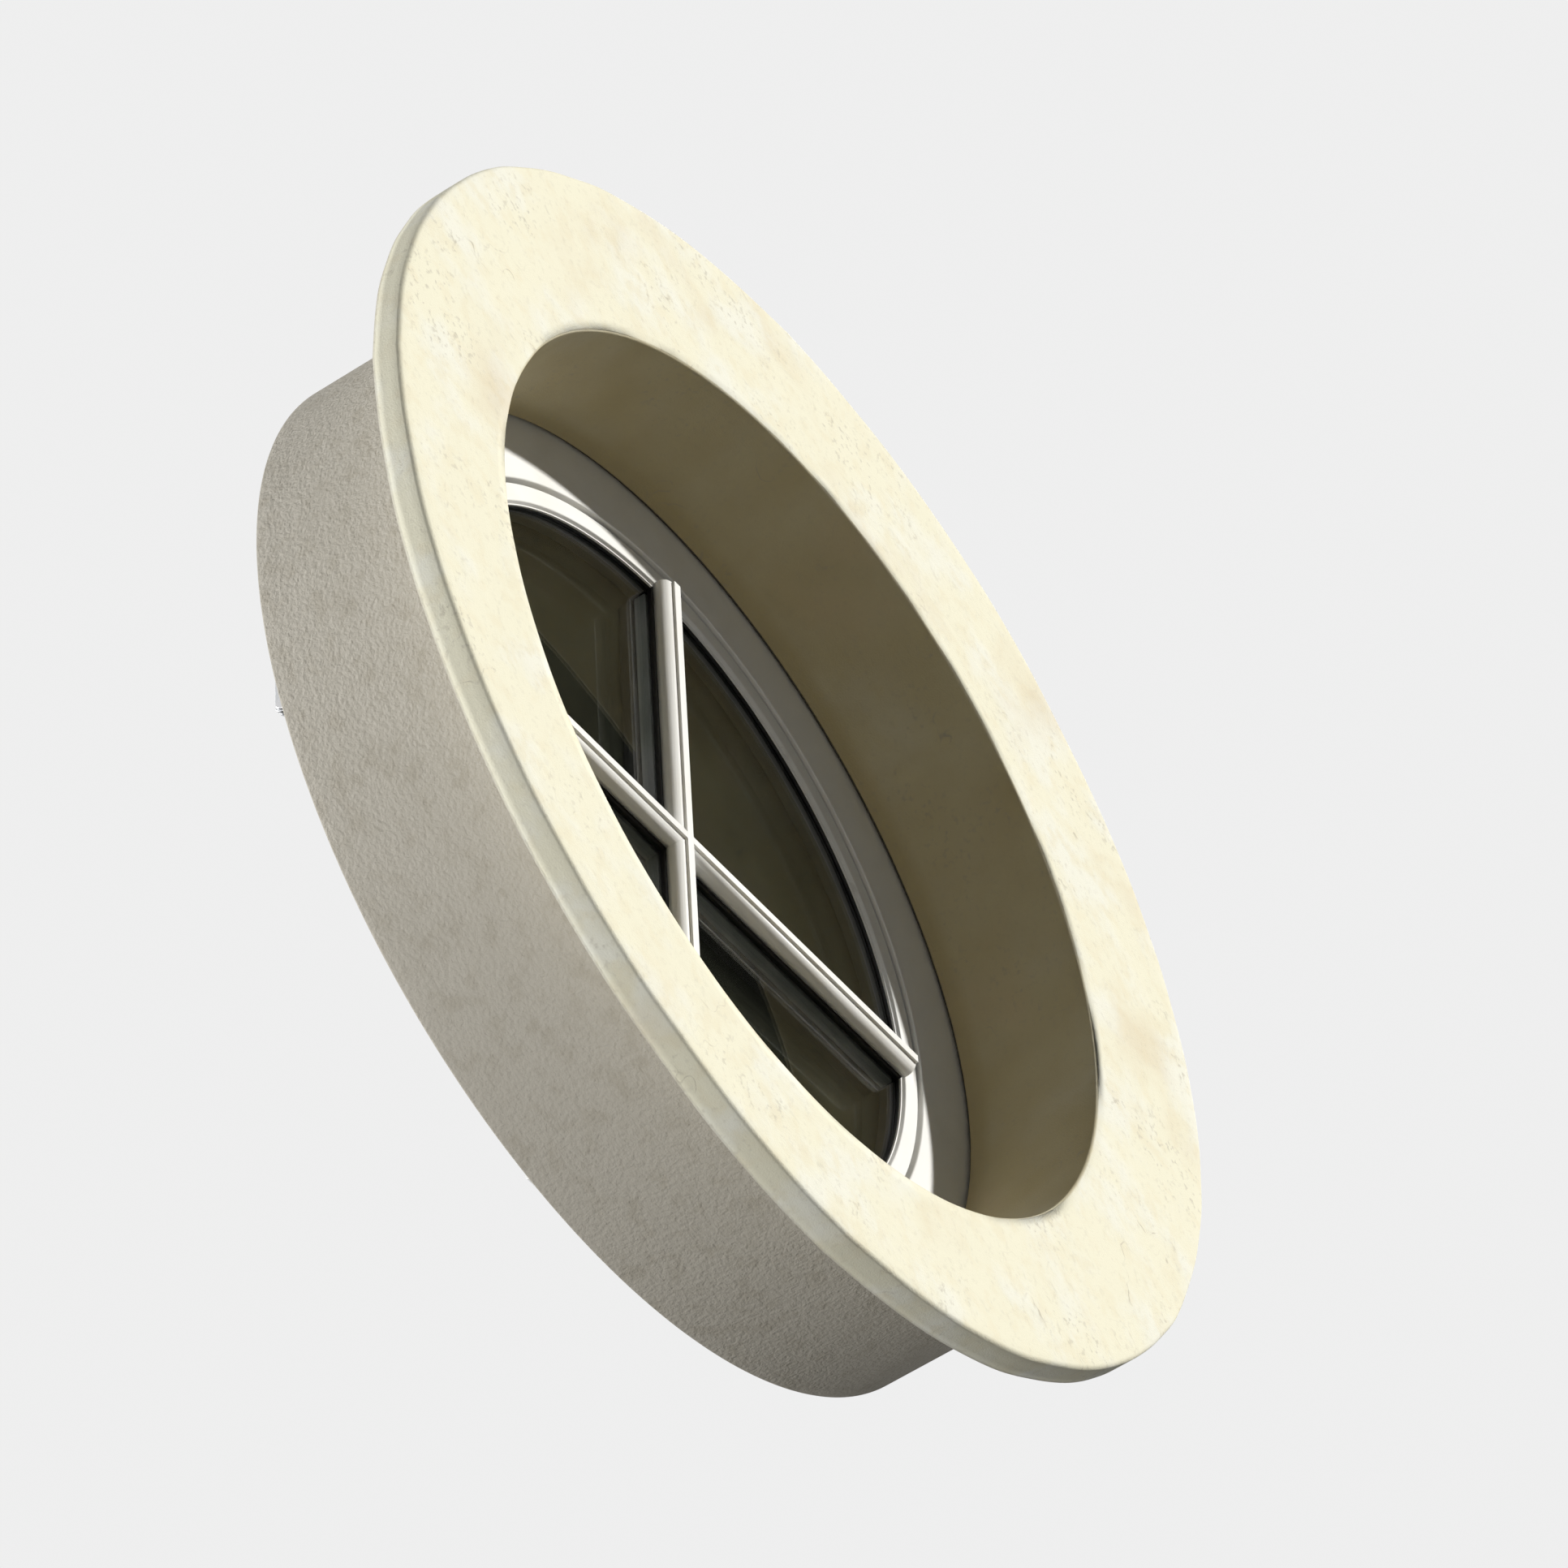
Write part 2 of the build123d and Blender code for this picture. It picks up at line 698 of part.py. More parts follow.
with BuildPart() as handle_lever:
    # Side view: the spur lies low, the hub stands up, and the lever curves away from the sash
    with BuildSketch(Plane.XY.offset(handle_height)):
        with BuildLine():
            Polyline(
                (spur_length, spur_back),
                (spur_length, spur_front),
                (-handle_hub_radius, spur_front),
            )
            Spline(
                (-handle_hub_radius, spur_front),
                (-lever_length, lever_back - lever_thickness),
                tangents=[(-1, 0), (-1, 0)],
            )
            Line((-lever_length, lever_back - lever_thickness), (-lever_length, lever_back))
            Spline(
                (-lever_length, lever_back),
                (-handle_hub_radius, hub_back),
                tangents=[(1, 0), (1, 0)],
            )
            Polyline(
                (-handle_hub_radius, hub_back),
                (handle_hub_radius, hub_back),
                (handle_hub_radius, spur_back),
                (spur_length, spur_back),
            )
        make_face()
    extrude(amount=handle_hub_radius, both=True)
    # Plan, seen from outside: a round hub, a tapered spur and a lever that widens to a round end
    with BuildSketch(facing(lever_back)):
        with Locations((0, handle_height)):
            Circle(handle_hub_radius)
        with BuildLine(mode=Mode.PRIVATE) as spur_plan:
            Polyline(
                (0, handle_height - spur_root_width / 2),
                (spur_length, handle_height - spur_tip_width / 2),
                (spur_length, handle_height + spur_tip_width / 2),
                (0, handle_height + spur_root_width / 2),
                close=True,
            )
        make_face(spur_plan.edges())
        with BuildLine(mode=Mode.PRIVATE) as lever_plan:
            Polyline(
                (0, handle_height - lever_root_width / 2),
                (-lever_length + lever_tip_width / 2, handle_height - lever_tip_width / 2),
                (-lever_length + lever_tip_width / 2, handle_height + lever_tip_width / 2),
                (0, handle_height + lever_root_width / 2),
                close=True,
            )
        make_face(lever_plan.edges())
        with Locations((-lever_length + lever_tip_width / 2, handle_height)):
            Circle(lever_tip_width / 2)
    extrude(amount=lever_back - spur_front, mode=Mode.INTERSECT)
    with BuildSketch(facing(lever_back)):
        with Locations((0, handle_height)):
            Circle(handle_rivet_radius + running_clearance)
    extrude(amount=lever_back - spur_front, mode=Mode.SUBTRACT)
finish(handle_lever, "handle_lever")

handle_rivet_head = hub_back + handle_gap
with BuildPart() as handle_rivet:
    with BuildSketch(facing(handle_rivet_head)):
        with Locations((0, handle_height)):
            Circle(handle_rivet_radius)
    extrude(amount=handle_rivet_head - sash_back)
    with BuildSketch(facing(handle_rivet_head + handle_rivet_head_height)):
        with Locations((0, handle_height)):
            Circle(handle_rivet_head_radius)
    extrude(amount=handle_rivet_head_height)
finish(handle_rivet, "handle_rivet")

# Keeper: a bent hook on the frame that the spur turns in under
spur_reach = handle_height + spur_length
hook_front = spur_back + keeper_hook_gap
hook_back = hook_front + keeper_hook_thickness
hook_low = spur_reach - keeper_engagement
riser_low = spur_reach + keeper_end_gap
riser_high = riser_low + keeper_thickness
keeper_foot_back = frame_back + keeper_thickness
with BuildPart() as keeper:
    with BuildSketch(Plane.YZ):
        with BuildLine():
            Polyline(
                (frame_back, hook_low - keeper_foot_below),
                (keeper_foot_back, hook_low - keeper_foot_below),
                (keeper_foot_back, riser_low),
                (hook_front, riser_low),
                (hook_front, hook_low),
                (hook_back, hook_low),
                (hook_back, riser_high),
                (keeper_foot_back, riser_high),
                (keeper_foot_back, riser_high + keeper_foot_above),
                (frame_back, riser_high + keeper_foot_above),
                close=True,
            )
        make_face()
    extrude(amount=keeper_width / 2, both=True)
finish(keeper, "keeper")
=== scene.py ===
import json
import math

import bmesh
import bpy
from mathutils import Matrix, Vector, noise

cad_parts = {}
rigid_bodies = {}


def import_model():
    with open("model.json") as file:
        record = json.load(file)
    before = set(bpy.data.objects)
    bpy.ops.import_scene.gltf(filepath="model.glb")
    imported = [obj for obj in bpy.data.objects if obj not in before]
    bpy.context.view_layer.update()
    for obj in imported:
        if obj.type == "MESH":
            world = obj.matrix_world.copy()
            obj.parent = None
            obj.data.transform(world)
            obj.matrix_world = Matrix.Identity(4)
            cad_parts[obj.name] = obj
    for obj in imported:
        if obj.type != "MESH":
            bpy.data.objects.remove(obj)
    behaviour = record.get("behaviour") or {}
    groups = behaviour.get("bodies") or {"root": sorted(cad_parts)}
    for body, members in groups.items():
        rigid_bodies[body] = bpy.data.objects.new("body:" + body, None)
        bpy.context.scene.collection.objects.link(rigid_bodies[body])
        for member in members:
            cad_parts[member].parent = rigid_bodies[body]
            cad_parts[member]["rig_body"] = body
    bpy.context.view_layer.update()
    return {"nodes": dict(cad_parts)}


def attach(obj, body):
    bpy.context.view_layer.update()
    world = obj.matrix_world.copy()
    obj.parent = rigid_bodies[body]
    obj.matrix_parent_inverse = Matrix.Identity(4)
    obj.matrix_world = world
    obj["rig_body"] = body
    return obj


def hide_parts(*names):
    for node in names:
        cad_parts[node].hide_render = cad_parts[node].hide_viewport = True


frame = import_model()


# Studio
# The window is looked up at from the lower left outside, as from the ground below it.
# A lamp stands high on the right in front and a soft one behind. A broad low lamp on the left lights
# the tube, and pale light comes from all round.
scene = bpy.context.scene
scene.view_settings.view_transform = "Standard"

eye = Vector((-3.852, -2.545, -5.147))
aim = Vector((0.0, 0.0, 0.0))
picture_up = Vector((-0.5267, -0.4253, 0.736))
sight = (aim - eye).normalized()
picture_right = sight.cross(picture_up).normalized()
camera = bpy.data.objects.new("camera", bpy.data.cameras.new("camera"))
camera.data.lens = 208
camera_axes = Matrix((picture_right, picture_right.cross(sight), -sight)).transposed()
camera.matrix_world = Matrix.Translation(eye) @ camera_axes.to_4x4()
scene.collection.objects.link(camera)
scene.camera = camera


def place(tree, kind, sockets=None, **settings):
    """Add a shader node, set its properties, and fill its sockets with values or with other sockets."""
    made = tree.nodes.new("ShaderNode" + kind)
    for setting, value in settings.items():
        setattr(made, setting, value)
    for key, value in (sockets or {}).items():
        if isinstance(value, bpy.types.NodeSocket):
            tree.links.new(value, made.inputs[key])
        else:
            made.inputs[key].default_value = value
    return made


def maths(tree, operation, first, second=0.0, clamped=False):
    """Add a node that does one sum, and give back its result."""
    return place(tree, "Math", {0: first, 1: second}, operation=operation, use_clamp=clamped).outputs[0]


def between(tree, mask, low, high):
    """Stretch a mask to run between two values."""
    return place(tree, "MapRange", {"Value": mask, "To Min": low, "To Max": high}).outputs[0]


def lay_over(tree, under, over, mask, share=None):
    """Lay one colour over another as far as a mask says, or a share of that."""
    if share is not None:
        mask = maths(tree, "MULTIPLY", mask, share)
    colours = [tint if isinstance(tint, bpy.types.NodeSocket) else (*tint, 1) for tint in (under, over)]
    return place(tree, "Mix", {0: mask, 6: colours[0], 7: colours[1]}, data_type="RGBA").outputs[2]


open_light = 0.05
open_light_colour = (0.93, 0.97, 1.0)
background_light = 0.86
background_white = (1, 1, 1)
world = bpy.data.worlds.new("studio")
world.use_nodes = True
scene.world = world
sky = world.node_tree
rays = place(sky, "LightPath").outputs
seen = maths(sky, "ADD", rays["Is Camera Ray"], rays["Is Glossy Ray"])
seen = maths(sky, "ADD", seen, rays["Is Transmission Ray"], clamped=True)
backdrop = sky.nodes["Background"].inputs
sky.links.new(between(sky, seen, open_light, background_light), backdrop["Strength"])
sky.links.new(lay_over(sky, open_light_colour, background_white, seen), backdrop["Color"])

# Each far lamp: the way towards it, its strength, how many degrees wide it looks, and its colour.
far_lamps = {
    "front_lamp": ((0.365, -0.80, 0.475), 4.0, 2.5, (1.0, 0.985, 0.95)),
    "back_lamp": ((-0.45, 0.80, 0.40), 2.3, 25.0, (1.0, 1.0, 1.0)),
}
for lamp_name, (towards, strength, softness, lamp_colour) in far_lamps.items():
    lamp = bpy.data.objects.new(lamp_name, bpy.data.lights.new(lamp_name, "SUN"))
    lamp.data.energy = strength
    lamp.data.angle = math.radians(softness)
    lamp.data.color = lamp_colour
    lamp.matrix_world = Vector(towards).to_track_quat("Z", "Y").to_matrix().to_4x4()
    scene.collection.objects.link(lamp)

low_stand = Vector((-2.3, 1.5, -2.6))
low_turn = low_stand.to_track_quat("Z", "Y").to_matrix().to_4x4()
low_lamp = bpy.data.objects.new("low_lamp", bpy.data.lights.new("low_lamp", "AREA"))
low_lamp.data.energy = 68.0
low_lamp.data.size = 2.0
low_lamp.matrix_world = Matrix.Translation(low_stand) @ low_turn
low_lamp.visible_camera = False
scene.collection.objects.link(low_lamp)


def stage_sheet(name, size, centre, facing, colour, glow=0.0):
    """Stand a flat sheet in the studio, square to the way it faces."""
    bm = bmesh.new()
    bmesh.ops.create_grid(bm, x_segments=1, y_segments=1, size=size / 2)
    turn = Vector(facing).to_track_quat("Z", "Y").to_matrix().to_4x4()
    bmesh.ops.transform(bm, matrix=Matrix.Translation(centre) @ turn, verts=bm.verts)
    mesh = bpy.data.meshes.new(name)
    bm.to_mesh(mesh)
    bm.free()
    sheet = bpy.data.objects.new(name, mesh)
    scene.collection.objects.link(sheet)
    paint = bpy.data.materials.new(name)
    paint.use_nodes = True
    surface = paint.node_tree.nodes["Principled BSDF"].inputs
    camera_ray = place(paint.node_tree, "LightPath").outputs["Is Camera Ray"]
    glow_seen = maths(paint.node_tree, "MULTIPLY", camera_ray, glow)
    paint.node_tree.links.new(glow_seen, surface["Emission Strength"])
    surface["Base Color"].default_value = (*colour, 1)
    surface["Emission Color"].default_value = (1, 1, 1, 1)
    surface["Roughness"].default_value = 0.9
    surface["Specular IOR Level"].default_value = 0.0
    mesh.materials.append(paint)
    return sheet


# The floor glows a little, only to the camera, so that it looks like the pale background.
floor_size = 90.0
floor_height = -6.8
floor_grey = (0.17, 0.17, 0.17)
floor_glow = 0.71
stage_sheet("floor", floor_size, (0, 0, floor_height), (0, 0, 1), floor_grey, glow=floor_glow)

# The dark card stands where the glass mirrors it to the camera, so that the panes read dark.
card_size = 2.4
card_distance = 3.0
card_black = (0.035, 0.034, 0.03)
mirrored = Vector((sight.x, -sight.y, sight.z))
card = stage_sheet("dark_card", card_size, mirrored * card_distance, -mirrored, card_black)
card.visible_camera = False
card.visible_diffuse = False
card.visible_shadow = False


# Surround
# One ring cast in fine lime mortar: the flat band that shows, the reveal behind it and the tube built in.
# It is struck and trowelled by hand: its faces ripple, its outer edge wanders, and the band's outer circle
# is struck from a centre a little above and to the right of the reveal's.
MM = 0.001
JOIN = 0.000002
RING_STEPS = 256
CORNER_CUTS = 4

reveal_radius = 380.0
band_radius = 520.0
band_front = -25.0
band_back = 0.0
tube_radius = 440.0
shoulder_radius = 413.0
shoulder = 97.0
frame_back = 165.0
cast_steps = 360
cast_mesh = 10.0
inner_arris = 2.6
outer_arris = 4.0
band_shift = Vector((10.0, 0, 22.0))

# The hand work. Ripple, fade and wander are in millimetres. A scale says how many patches of noise go to a
# metre, or to the radius round the edge.
ripple = 1.1
ripple_scale = 9
fine_ripple_scale = 24
reveal_ripple_share = 1.6
reveal_ripple_fade = 20
edge_wander = 5.0
edge_scale = 2.6
fine_edge_scale = 9
edge_seed = Vector((3, 0, 5))


def section_face(outline, small_cuts, large_cuts):
    """Lay out a section from its corners: place across or radius, depth and rounding, in millimetres.

    A rounding of up to 1 mm gets small_cuts, and a larger one large_cuts.
    """
    bm = bmesh.new()
    corners = [bm.verts.new((across * MM, depth * MM, 0)) for across, depth, rounding in outline]
    bm.faces.new(corners)
    for corner, (across, depth, rounding) in zip(corners, outline):
        if rounding:
            bmesh.ops.bevel(
                bm,
                geom=[corner],
                offset=rounding * MM,
                offset_type="OFFSET",
                segments=large_cuts if rounding > 1 else small_cuts,
                profile=0.5,
                affect="VERTICES",
                material=-1,
            )
    return bm


def spun_ring(outline, steps=RING_STEPS, mesh_size=None):
    """Spin a section once round the window's axis, first cutting its long edges to a mesh size if asked."""
    bm = section_face(outline, CORNER_CUTS, CORNER_CUTS)
    bmesh.ops.delete(bm, geom=bm.faces[:], context="FACES_ONLY")
    if mesh_size:
        for edge in bm.edges[:]:
            cuts = int(edge.calc_length() / (mesh_size * MM))
            if cuts:
                bmesh.ops.subdivide_edges(bm, edges=[edge], cuts=cuts)
    section = bm.verts[:] + bm.edges[:]
    bmesh.ops.spin(
        bm, geom=section, cent=(0, 0, 0), axis=(0, 1, 0), angle=math.tau, steps=steps, use_merge=True
    )
    bmesh.ops.remove_doubles(bm, verts=bm.verts, dist=JOIN)
    bmesh.ops.recalc_face_normals(bm, faces=bm.faces)
    return bm


def set_in(name, bm, finish, body, slot, *nodes, keep_flats=True):
    """Turn a finished mesh into a piece of the window that stands for its CAD nodes."""
    mesh = bpy.data.meshes.new(name)
    bm.to_mesh(mesh)
    bm.free()
    mesh.shade_smooth()
    mesh.materials.append(finish)
    piece = bpy.data.objects.new(name, mesh)
    scene.collection.objects.link(piece)
    if keep_flats:
        piece.modifiers.new("flats", "WEIGHTED_NORMAL").keep_sharp = True
    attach(piece, body)
    if nodes:
        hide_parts(*nodes)
    return piece


def new_group(name, **numbers):
    """Start a shared effect: a place and named numbers go in, and a mask comes out."""
    group = bpy.data.node_groups.new(name, "ShaderNodeTree")
    group.interface.new_socket("Place", in_out="INPUT", socket_type="NodeSocketVector")
    for number_name, start in numbers.items():
        number = group.interface.new_socket(number_name, in_out="INPUT", socket_type="NodeSocketFloat")
        number.default_value = start
    group.interface.new_socket("Mask", in_out="OUTPUT", socket_type="NodeSocketFloat")
    entry = group.nodes.new("NodeGroupInput").outputs
    leave = group.nodes.new("NodeGroupOutput").inputs["Mask"]
    return group, entry, leave


def use_group(tree, group, **values):
    """Put a shared effect into a material with its own values, and give back its mask."""
    return place(tree, "Group", values, node_tree=group).outputs["Mask"]


def soft_noise(tree, spot, scale, detail):
    """Cloudy noise at a place."""
    return place(tree, "TexNoise", {"Vector": spot, "Scale": scale, "Detail": detail}).outputs["Fac"]


def ramp(tree, value, start, end, **settings):
    """A mask that rises from nothing to full while a value goes from start to end."""
    span = {"Value": value, "From Min": start, "From Max": end}
    return place(tree, "MapRange", span, **settings).outputs[0]


def flattened(tree, spot):
    """The parts of a place, and the place with its depth taken out."""
    parts = place(tree, "SeparateXYZ", {0: spot}).outputs
    return parts, place(tree, "CombineXYZ", {0: parts[0], 2: parts[2]}).outputs[0]


# Cloudy patches: soft noise, cut to the part between Low and High.
patches, entry, leave = new_group("cloudy patches", Scale=10.0, Low=0.4, High=0.6)
cloud = soft_noise(patches, entry["Place"], entry["Scale"], 5.0)
cut = ramp(patches, cloud, entry["Low"], entry["High"], interpolation_type="SMOOTHSTEP")
patches.links.new(cut, leave)

# Marks round the ring: streaks that follow the circle, Along and Across setting how long and how fine.
round_marks, entry, leave = new_group("marks round the ring", Along=20.0, Across=200.0)
parts, flat = flattened(round_marks, entry["Place"])
from_axis = place(round_marks, "VectorMath", {0: flat}, operation="LENGTH").outputs["Value"]
heading = place(round_marks, "VectorMath", {0: flat}, operation="NORMALIZE").outputs[0]
stretch = {0: heading, "Scale": entry["Along"]}
heading = place(round_marks, "VectorMath", stretch, operation="SCALE").outputs[0]
heading_parts = place(round_marks, "SeparateXYZ", {0: heading}).outputs
across = maths(round_marks, "MULTIPLY", from_axis, entry["Across"])
deep = maths(round_marks, "MULTIPLY", parts[1], entry["Across"])
streak_parts = {0: heading_parts[0], 1: heading_parts[2], 2: across}
streak_place = place(round_marks, "CombineXYZ", streak_parts).outputs[0]
streak_noise = {"Vector": streak_place, "W": deep, "Scale": 1.0, "Detail": 3.0}
streaks = place(round_marks, "TexNoise", streak_noise, noise_dimensions="4D").outputs["Fac"]
round_marks.links.new(streaks, leave)

# Hairlines: the thin lines where soft noise crosses its middle value, kept only in a few places.
hairlines, entry, leave = new_group("hairlines", Scale=20.0, Width=0.01, Rarity=0.6)
wander = soft_noise(hairlines, entry["Place"], entry["Scale"], 3.0)
off_middle = maths(hairlines, "ABSOLUTE", maths(hairlines, "SUBTRACT", wander, 0.5))
off_line = maths(hairlines, "DIVIDE", off_middle, entry["Width"])
line = maths(hairlines, "SUBTRACT", 1.0, off_line, clamped=True)
rare = soft_noise(hairlines, entry["Place"], maths(hairlines, "MULTIPLY", entry["Scale"], 0.7), 1.0)
rare_over = maths(hairlines, "SUBTRACT", rare, entry["Rarity"])
kept = maths(hairlines, "MULTIPLY", rare_over, 20.0, clamped=True)
hairlines.links.new(maths(hairlines, "MULTIPLY", line, kept), leave)


def new_finish(name, colour, roughness, metallic=0.0):
    """Start a material, and give back its tree, its shader and its object coordinates."""
    finish = bpy.data.materials.new(name)
    finish.use_nodes = True
    tree = finish.node_tree
    shader = tree.nodes["Principled BSDF"].inputs
    shader["Base Color"].default_value = (*colour, 1)
    shader["Roughness"].default_value = roughness
    shader["Metallic"].default_value = metallic
    return finish, tree, shader, place(tree, "TexCoord").outputs["Object"]


def relief(tree, shader, *layers):
    """Stack bumps of height in millimetres on one another and feed them to the shader's normal."""
    below = {}
    for height, depth in layers:
        bump = {"Height": height, "Distance": depth * MM, "Strength": 1.0, **below}
        below = {"Normal": place(tree, "Bump", bump).outputs[0]}
    tree.links.new(below["Normal"], shader["Normal"])


cast_colour = (0.825, 0.795, 0.625)
pale_bloom = (0.855, 0.845, 0.735)
cream = (0.785, 0.725, 0.535)
brown_stain = (0.66, 0.54, 0.36)
grey_mark = (0.42, 0.38, 0.30)
# The reveal's colour is partly a darker beige of its own and partly painted shade with warm bounce light.
reveal_beige_and_shade = (0.50, 0.415, 0.22)
raw_mortar = (0.55, 0.515, 0.44)
cast, tree, shader, spot = new_finish("cast_render", cast_colour, 0.88)
bloom = use_group(tree, patches, Place=spot, Scale=16.0, Low=0.44, High=0.66)
mottle = use_group(tree, patches, Place=spot, Scale=55.0, Low=0.48, High=0.70)
stain = use_group(tree, patches, Place=spot, Scale=7.0, Low=0.53, High=0.74)
speckle = use_group(tree, patches, Place=spot, Scale=190.0, Low=0.54, High=0.72)
scuff_area = use_group(tree, patches, Place=spot, Scale=12.0, Low=0.50, High=0.66)
trowel = use_group(tree, round_marks, Place=spot, Along=7.0, Across=60.0)
hair = use_group(tree, hairlines, Place=spot, Scale=13.0, Width=0.006, Rarity=0.60)

# From its edge in, the reveal is tinted darker and browner: partly a beige of its own, partly painted shade
# and warm bounce light. What is built in, behind the band and outside the reveal, is raw.
reveal_tint_and_shade_start = 383.5
reveal_tint_and_shade_full = 380.5
raw_radius_start = 390.0
raw_radius_full = 395.0
raw_depth_start = -2.0
raw_depth_full = 1.0
spot_parts, spot_flat = flattened(tree, spot)
spot_radius = place(tree, "VectorMath", {0: spot_flat}, operation="LENGTH").outputs["Value"]
reveal_beige_and_shade_mask = ramp(tree, spot_radius, reveal_tint_and_shade_start * MM, reveal_tint_and_shade_full * MM)
past_reveal = ramp(tree, spot_radius, raw_radius_start * MM, raw_radius_full * MM)
past_band = ramp(tree, spot_parts[1], raw_depth_start * MM, raw_depth_full * MM)
built_in = maths(tree, "MULTIPLY", past_reveal, past_band)
shown = maths(tree, "SUBTRACT", 1.0, built_in)
scuffs = maths(tree, "MULTIPLY", speckle, maths(tree, "MULTIPLY", scuff_area, shown))
broken_hair = maths(tree, "MULTIPLY", maths(tree, "MULTIPLY", hair, shown), between(tree, mottle, 0.1, 0.9))
tone = lay_over(tree, cast_colour, pale_bloom, bloom)
tone = lay_over(tree, tone, cream, mottle, 0.5)
# Painted shade: the reveal is darkened and browned as if in shade with warm bounce light, over a beige of its
# own.
tone = lay_over(tree, tone, reveal_beige_and_shade, reveal_beige_and_shade_mask, 0.9)
tone = lay_over(tree, tone, brown_stain, stain, 0.42)
tone = lay_over(tree, tone, grey_mark, speckle, 0.14)
tone = lay_over(tree, tone, grey_mark, scuffs, 0.42)
tone = lay_over(tree, tone, grey_mark, broken_hair)
raw_tone = lay_over(tree, raw_mortar, grey_mark, mottle, 0.4)
tree.links.new(lay_over(tree, tone, raw_tone, built_in), shader["Base Color"])
tree.links.new(between(tree, bloom, 0.80, 0.94), shader["Roughness"])
sand = soft_noise(tree, spot, 700.0, 4.0)
grit = maths(tree, "MULTIPLY", soft_noise(tree, spot, 260.0, 5.0), built_in)
relief(tree, shader, (trowel, 0.6), (bloom, 0.35), (sand, 0.32), (grit, 1.6))

surround_outline = [
    (reveal_radius, band_front, inner_arris),
    (band_radius, band_front, outer_arris),
    (band_radius, band_back, 0),
    (tube_radius, band_back, 0),
    (tube_radius, frame_back, 2),
    (shoulder_radius, frame_back, 1),
    (shoulder_radius, shoulder, 0),
    (reveal_radius, shoulder, 1),
]
bm = spun_ring(surround_outline, cast_steps, cast_mesh)
for corner in bm.verts:
    radius = math.hypot(corner.co.x, corner.co.z)
    outwards = Vector((corner.co.x / radius, 0, corner.co.z / radius))
    wide = noise.noise(corner.co * ripple_scale) * 0.6 + noise.noise(corner.co * fine_ripple_scale) * 0.4
    pressed = (0.5 + 0.5 * wide) * ripple * MM
    if corner.co.y < (band_front + outer_arris) * MM:
        corner.co.y += pressed
    if radius < (reveal_radius + inner_arris) * MM and corner.co.y < (shoulder - 1) * MM:
        fade = min(1, (shoulder * MM - corner.co.y) / (reveal_ripple_fade * MM))
        corner.co += outwards * pressed * reveal_ripple_share * fade
    spread = min(1, max(0, (radius / MM - tube_radius) / (band_radius - tube_radius)))
    corner.co += band_shift * MM * spread * spread * (3 - 2 * spread)
    if radius > (band_radius - outer_arris) * MM:
        turning = noise.noise(outwards * edge_scale + edge_seed)
        turning += 0.5 * noise.noise(outwards * fine_edge_scale)
        free = abs(2 * outwards.x * outwards.z) ** 0.5
        corner.co -= outwards * min(1, max(0, 0.5 + 0.6 * turning)) * free * edge_wander * MM
bmesh.ops.recalc_face_normals(bm, faces=bm.faces)
set_in("cast_surround", bm, cast, "fixed_frame", "cast_render", "surround", keep_flats=False)


# Expanding tape and sealant
# A compressed foam tape closes the joint at the back of the reveal, and shows as a dark line there.
# On the room side the gap round the frame is filled and tooled with a white elastic sealant.
tape_inner = 384.0
tape_outer = 406.0
tape_thickness = 3.0
tape_back = shoulder + tape_thickness
tape_bulge = 0.8
foam_dark = (0.07, 0.066, 0.058)
foam_light = (0.20, 0.185, 0.16)
foam, tree, shader, spot = new_finish("foam_tape", foam_dark, 0.95)
cells = place(tree, "TexVoronoi", {"Vector": spot, "Scale": 900.0}).outputs["Distance"]
tree.links.new(lay_over(tree, foam_dark, foam_light, cells), shader["Base Color"])
relief(tree, shader, (cells, 0.5))
tape_outline = [
    (tape_inner, shoulder, 0),
    (tape_outer, shoulder, 0),
    (tape_outer, tape_back, 0),
    (tape_inner, tape_back, 0),
    (tape_inner - tape_bulge, shoulder + tape_thickness / 2, 0),
]
set_in("joint_tape", spun_ring(tape_outline), foam, "fixed_frame", "foam_tape", "frame_tape")

frame_radius = 410.0
sealant_depth = 6.0
sealant_front = frame_back - sealant_depth
sealant_lip = 1.0
sealant_hollow = 0.8
sealant_white = (0.80, 0.80, 0.77)
sealant_grime = (0.64, 0.62, 0.56)
sealant, tree, shader, spot = new_finish("white_sealant", sealant_white, 0.38)
smear = use_group(tree, round_marks, Place=spot, Along=14.0, Across=420.0)
grime = use_group(tree, patches, Place=spot, Scale=30.0, Low=0.5, High=0.75)
tree.links.new(lay_over(tree, sealant_white, sealant_grime, grime, 0.5), shader["Base Color"])
tree.links.new(between(tree, smear, 0.30, 0.50), shader["Roughness"])
relief(tree, shader, (smear, 0.3))
sealant_outline = [
    (frame_radius, sealant_front, 0),
    (shoulder_radius, sealant_front, 0),
    (shoulder_radius, frame_back, 0),
    (shoulder_radius - sealant_lip, frame_back - sealant_hollow, 0),
    (frame_radius + sealant_lip, frame_back - sealant_hollow, 0),
    (frame_radius, frame_back, 0),
]
set_in("tooled_sealant", spun_ring(sealant_outline), sealant, "fixed_frame", "white_sealant", "room_sealant")


# Window frame
# A ring of jointed timber with a rebate for the sash, under an opaque white paint laid on with a brush.
# It is pushed in from the room against the tape, packed off the surround and screwed through the rebate.
frame_opening = 321.0
frame_rebate = 355.0
frame_front = 100.0
frame_stop = 120.0
fixing_depth = 142.5
fixing_angles = [45.0, 135.0, 225.0, 315.0]
fixing_bore = 7.6
bore_length = 8.4

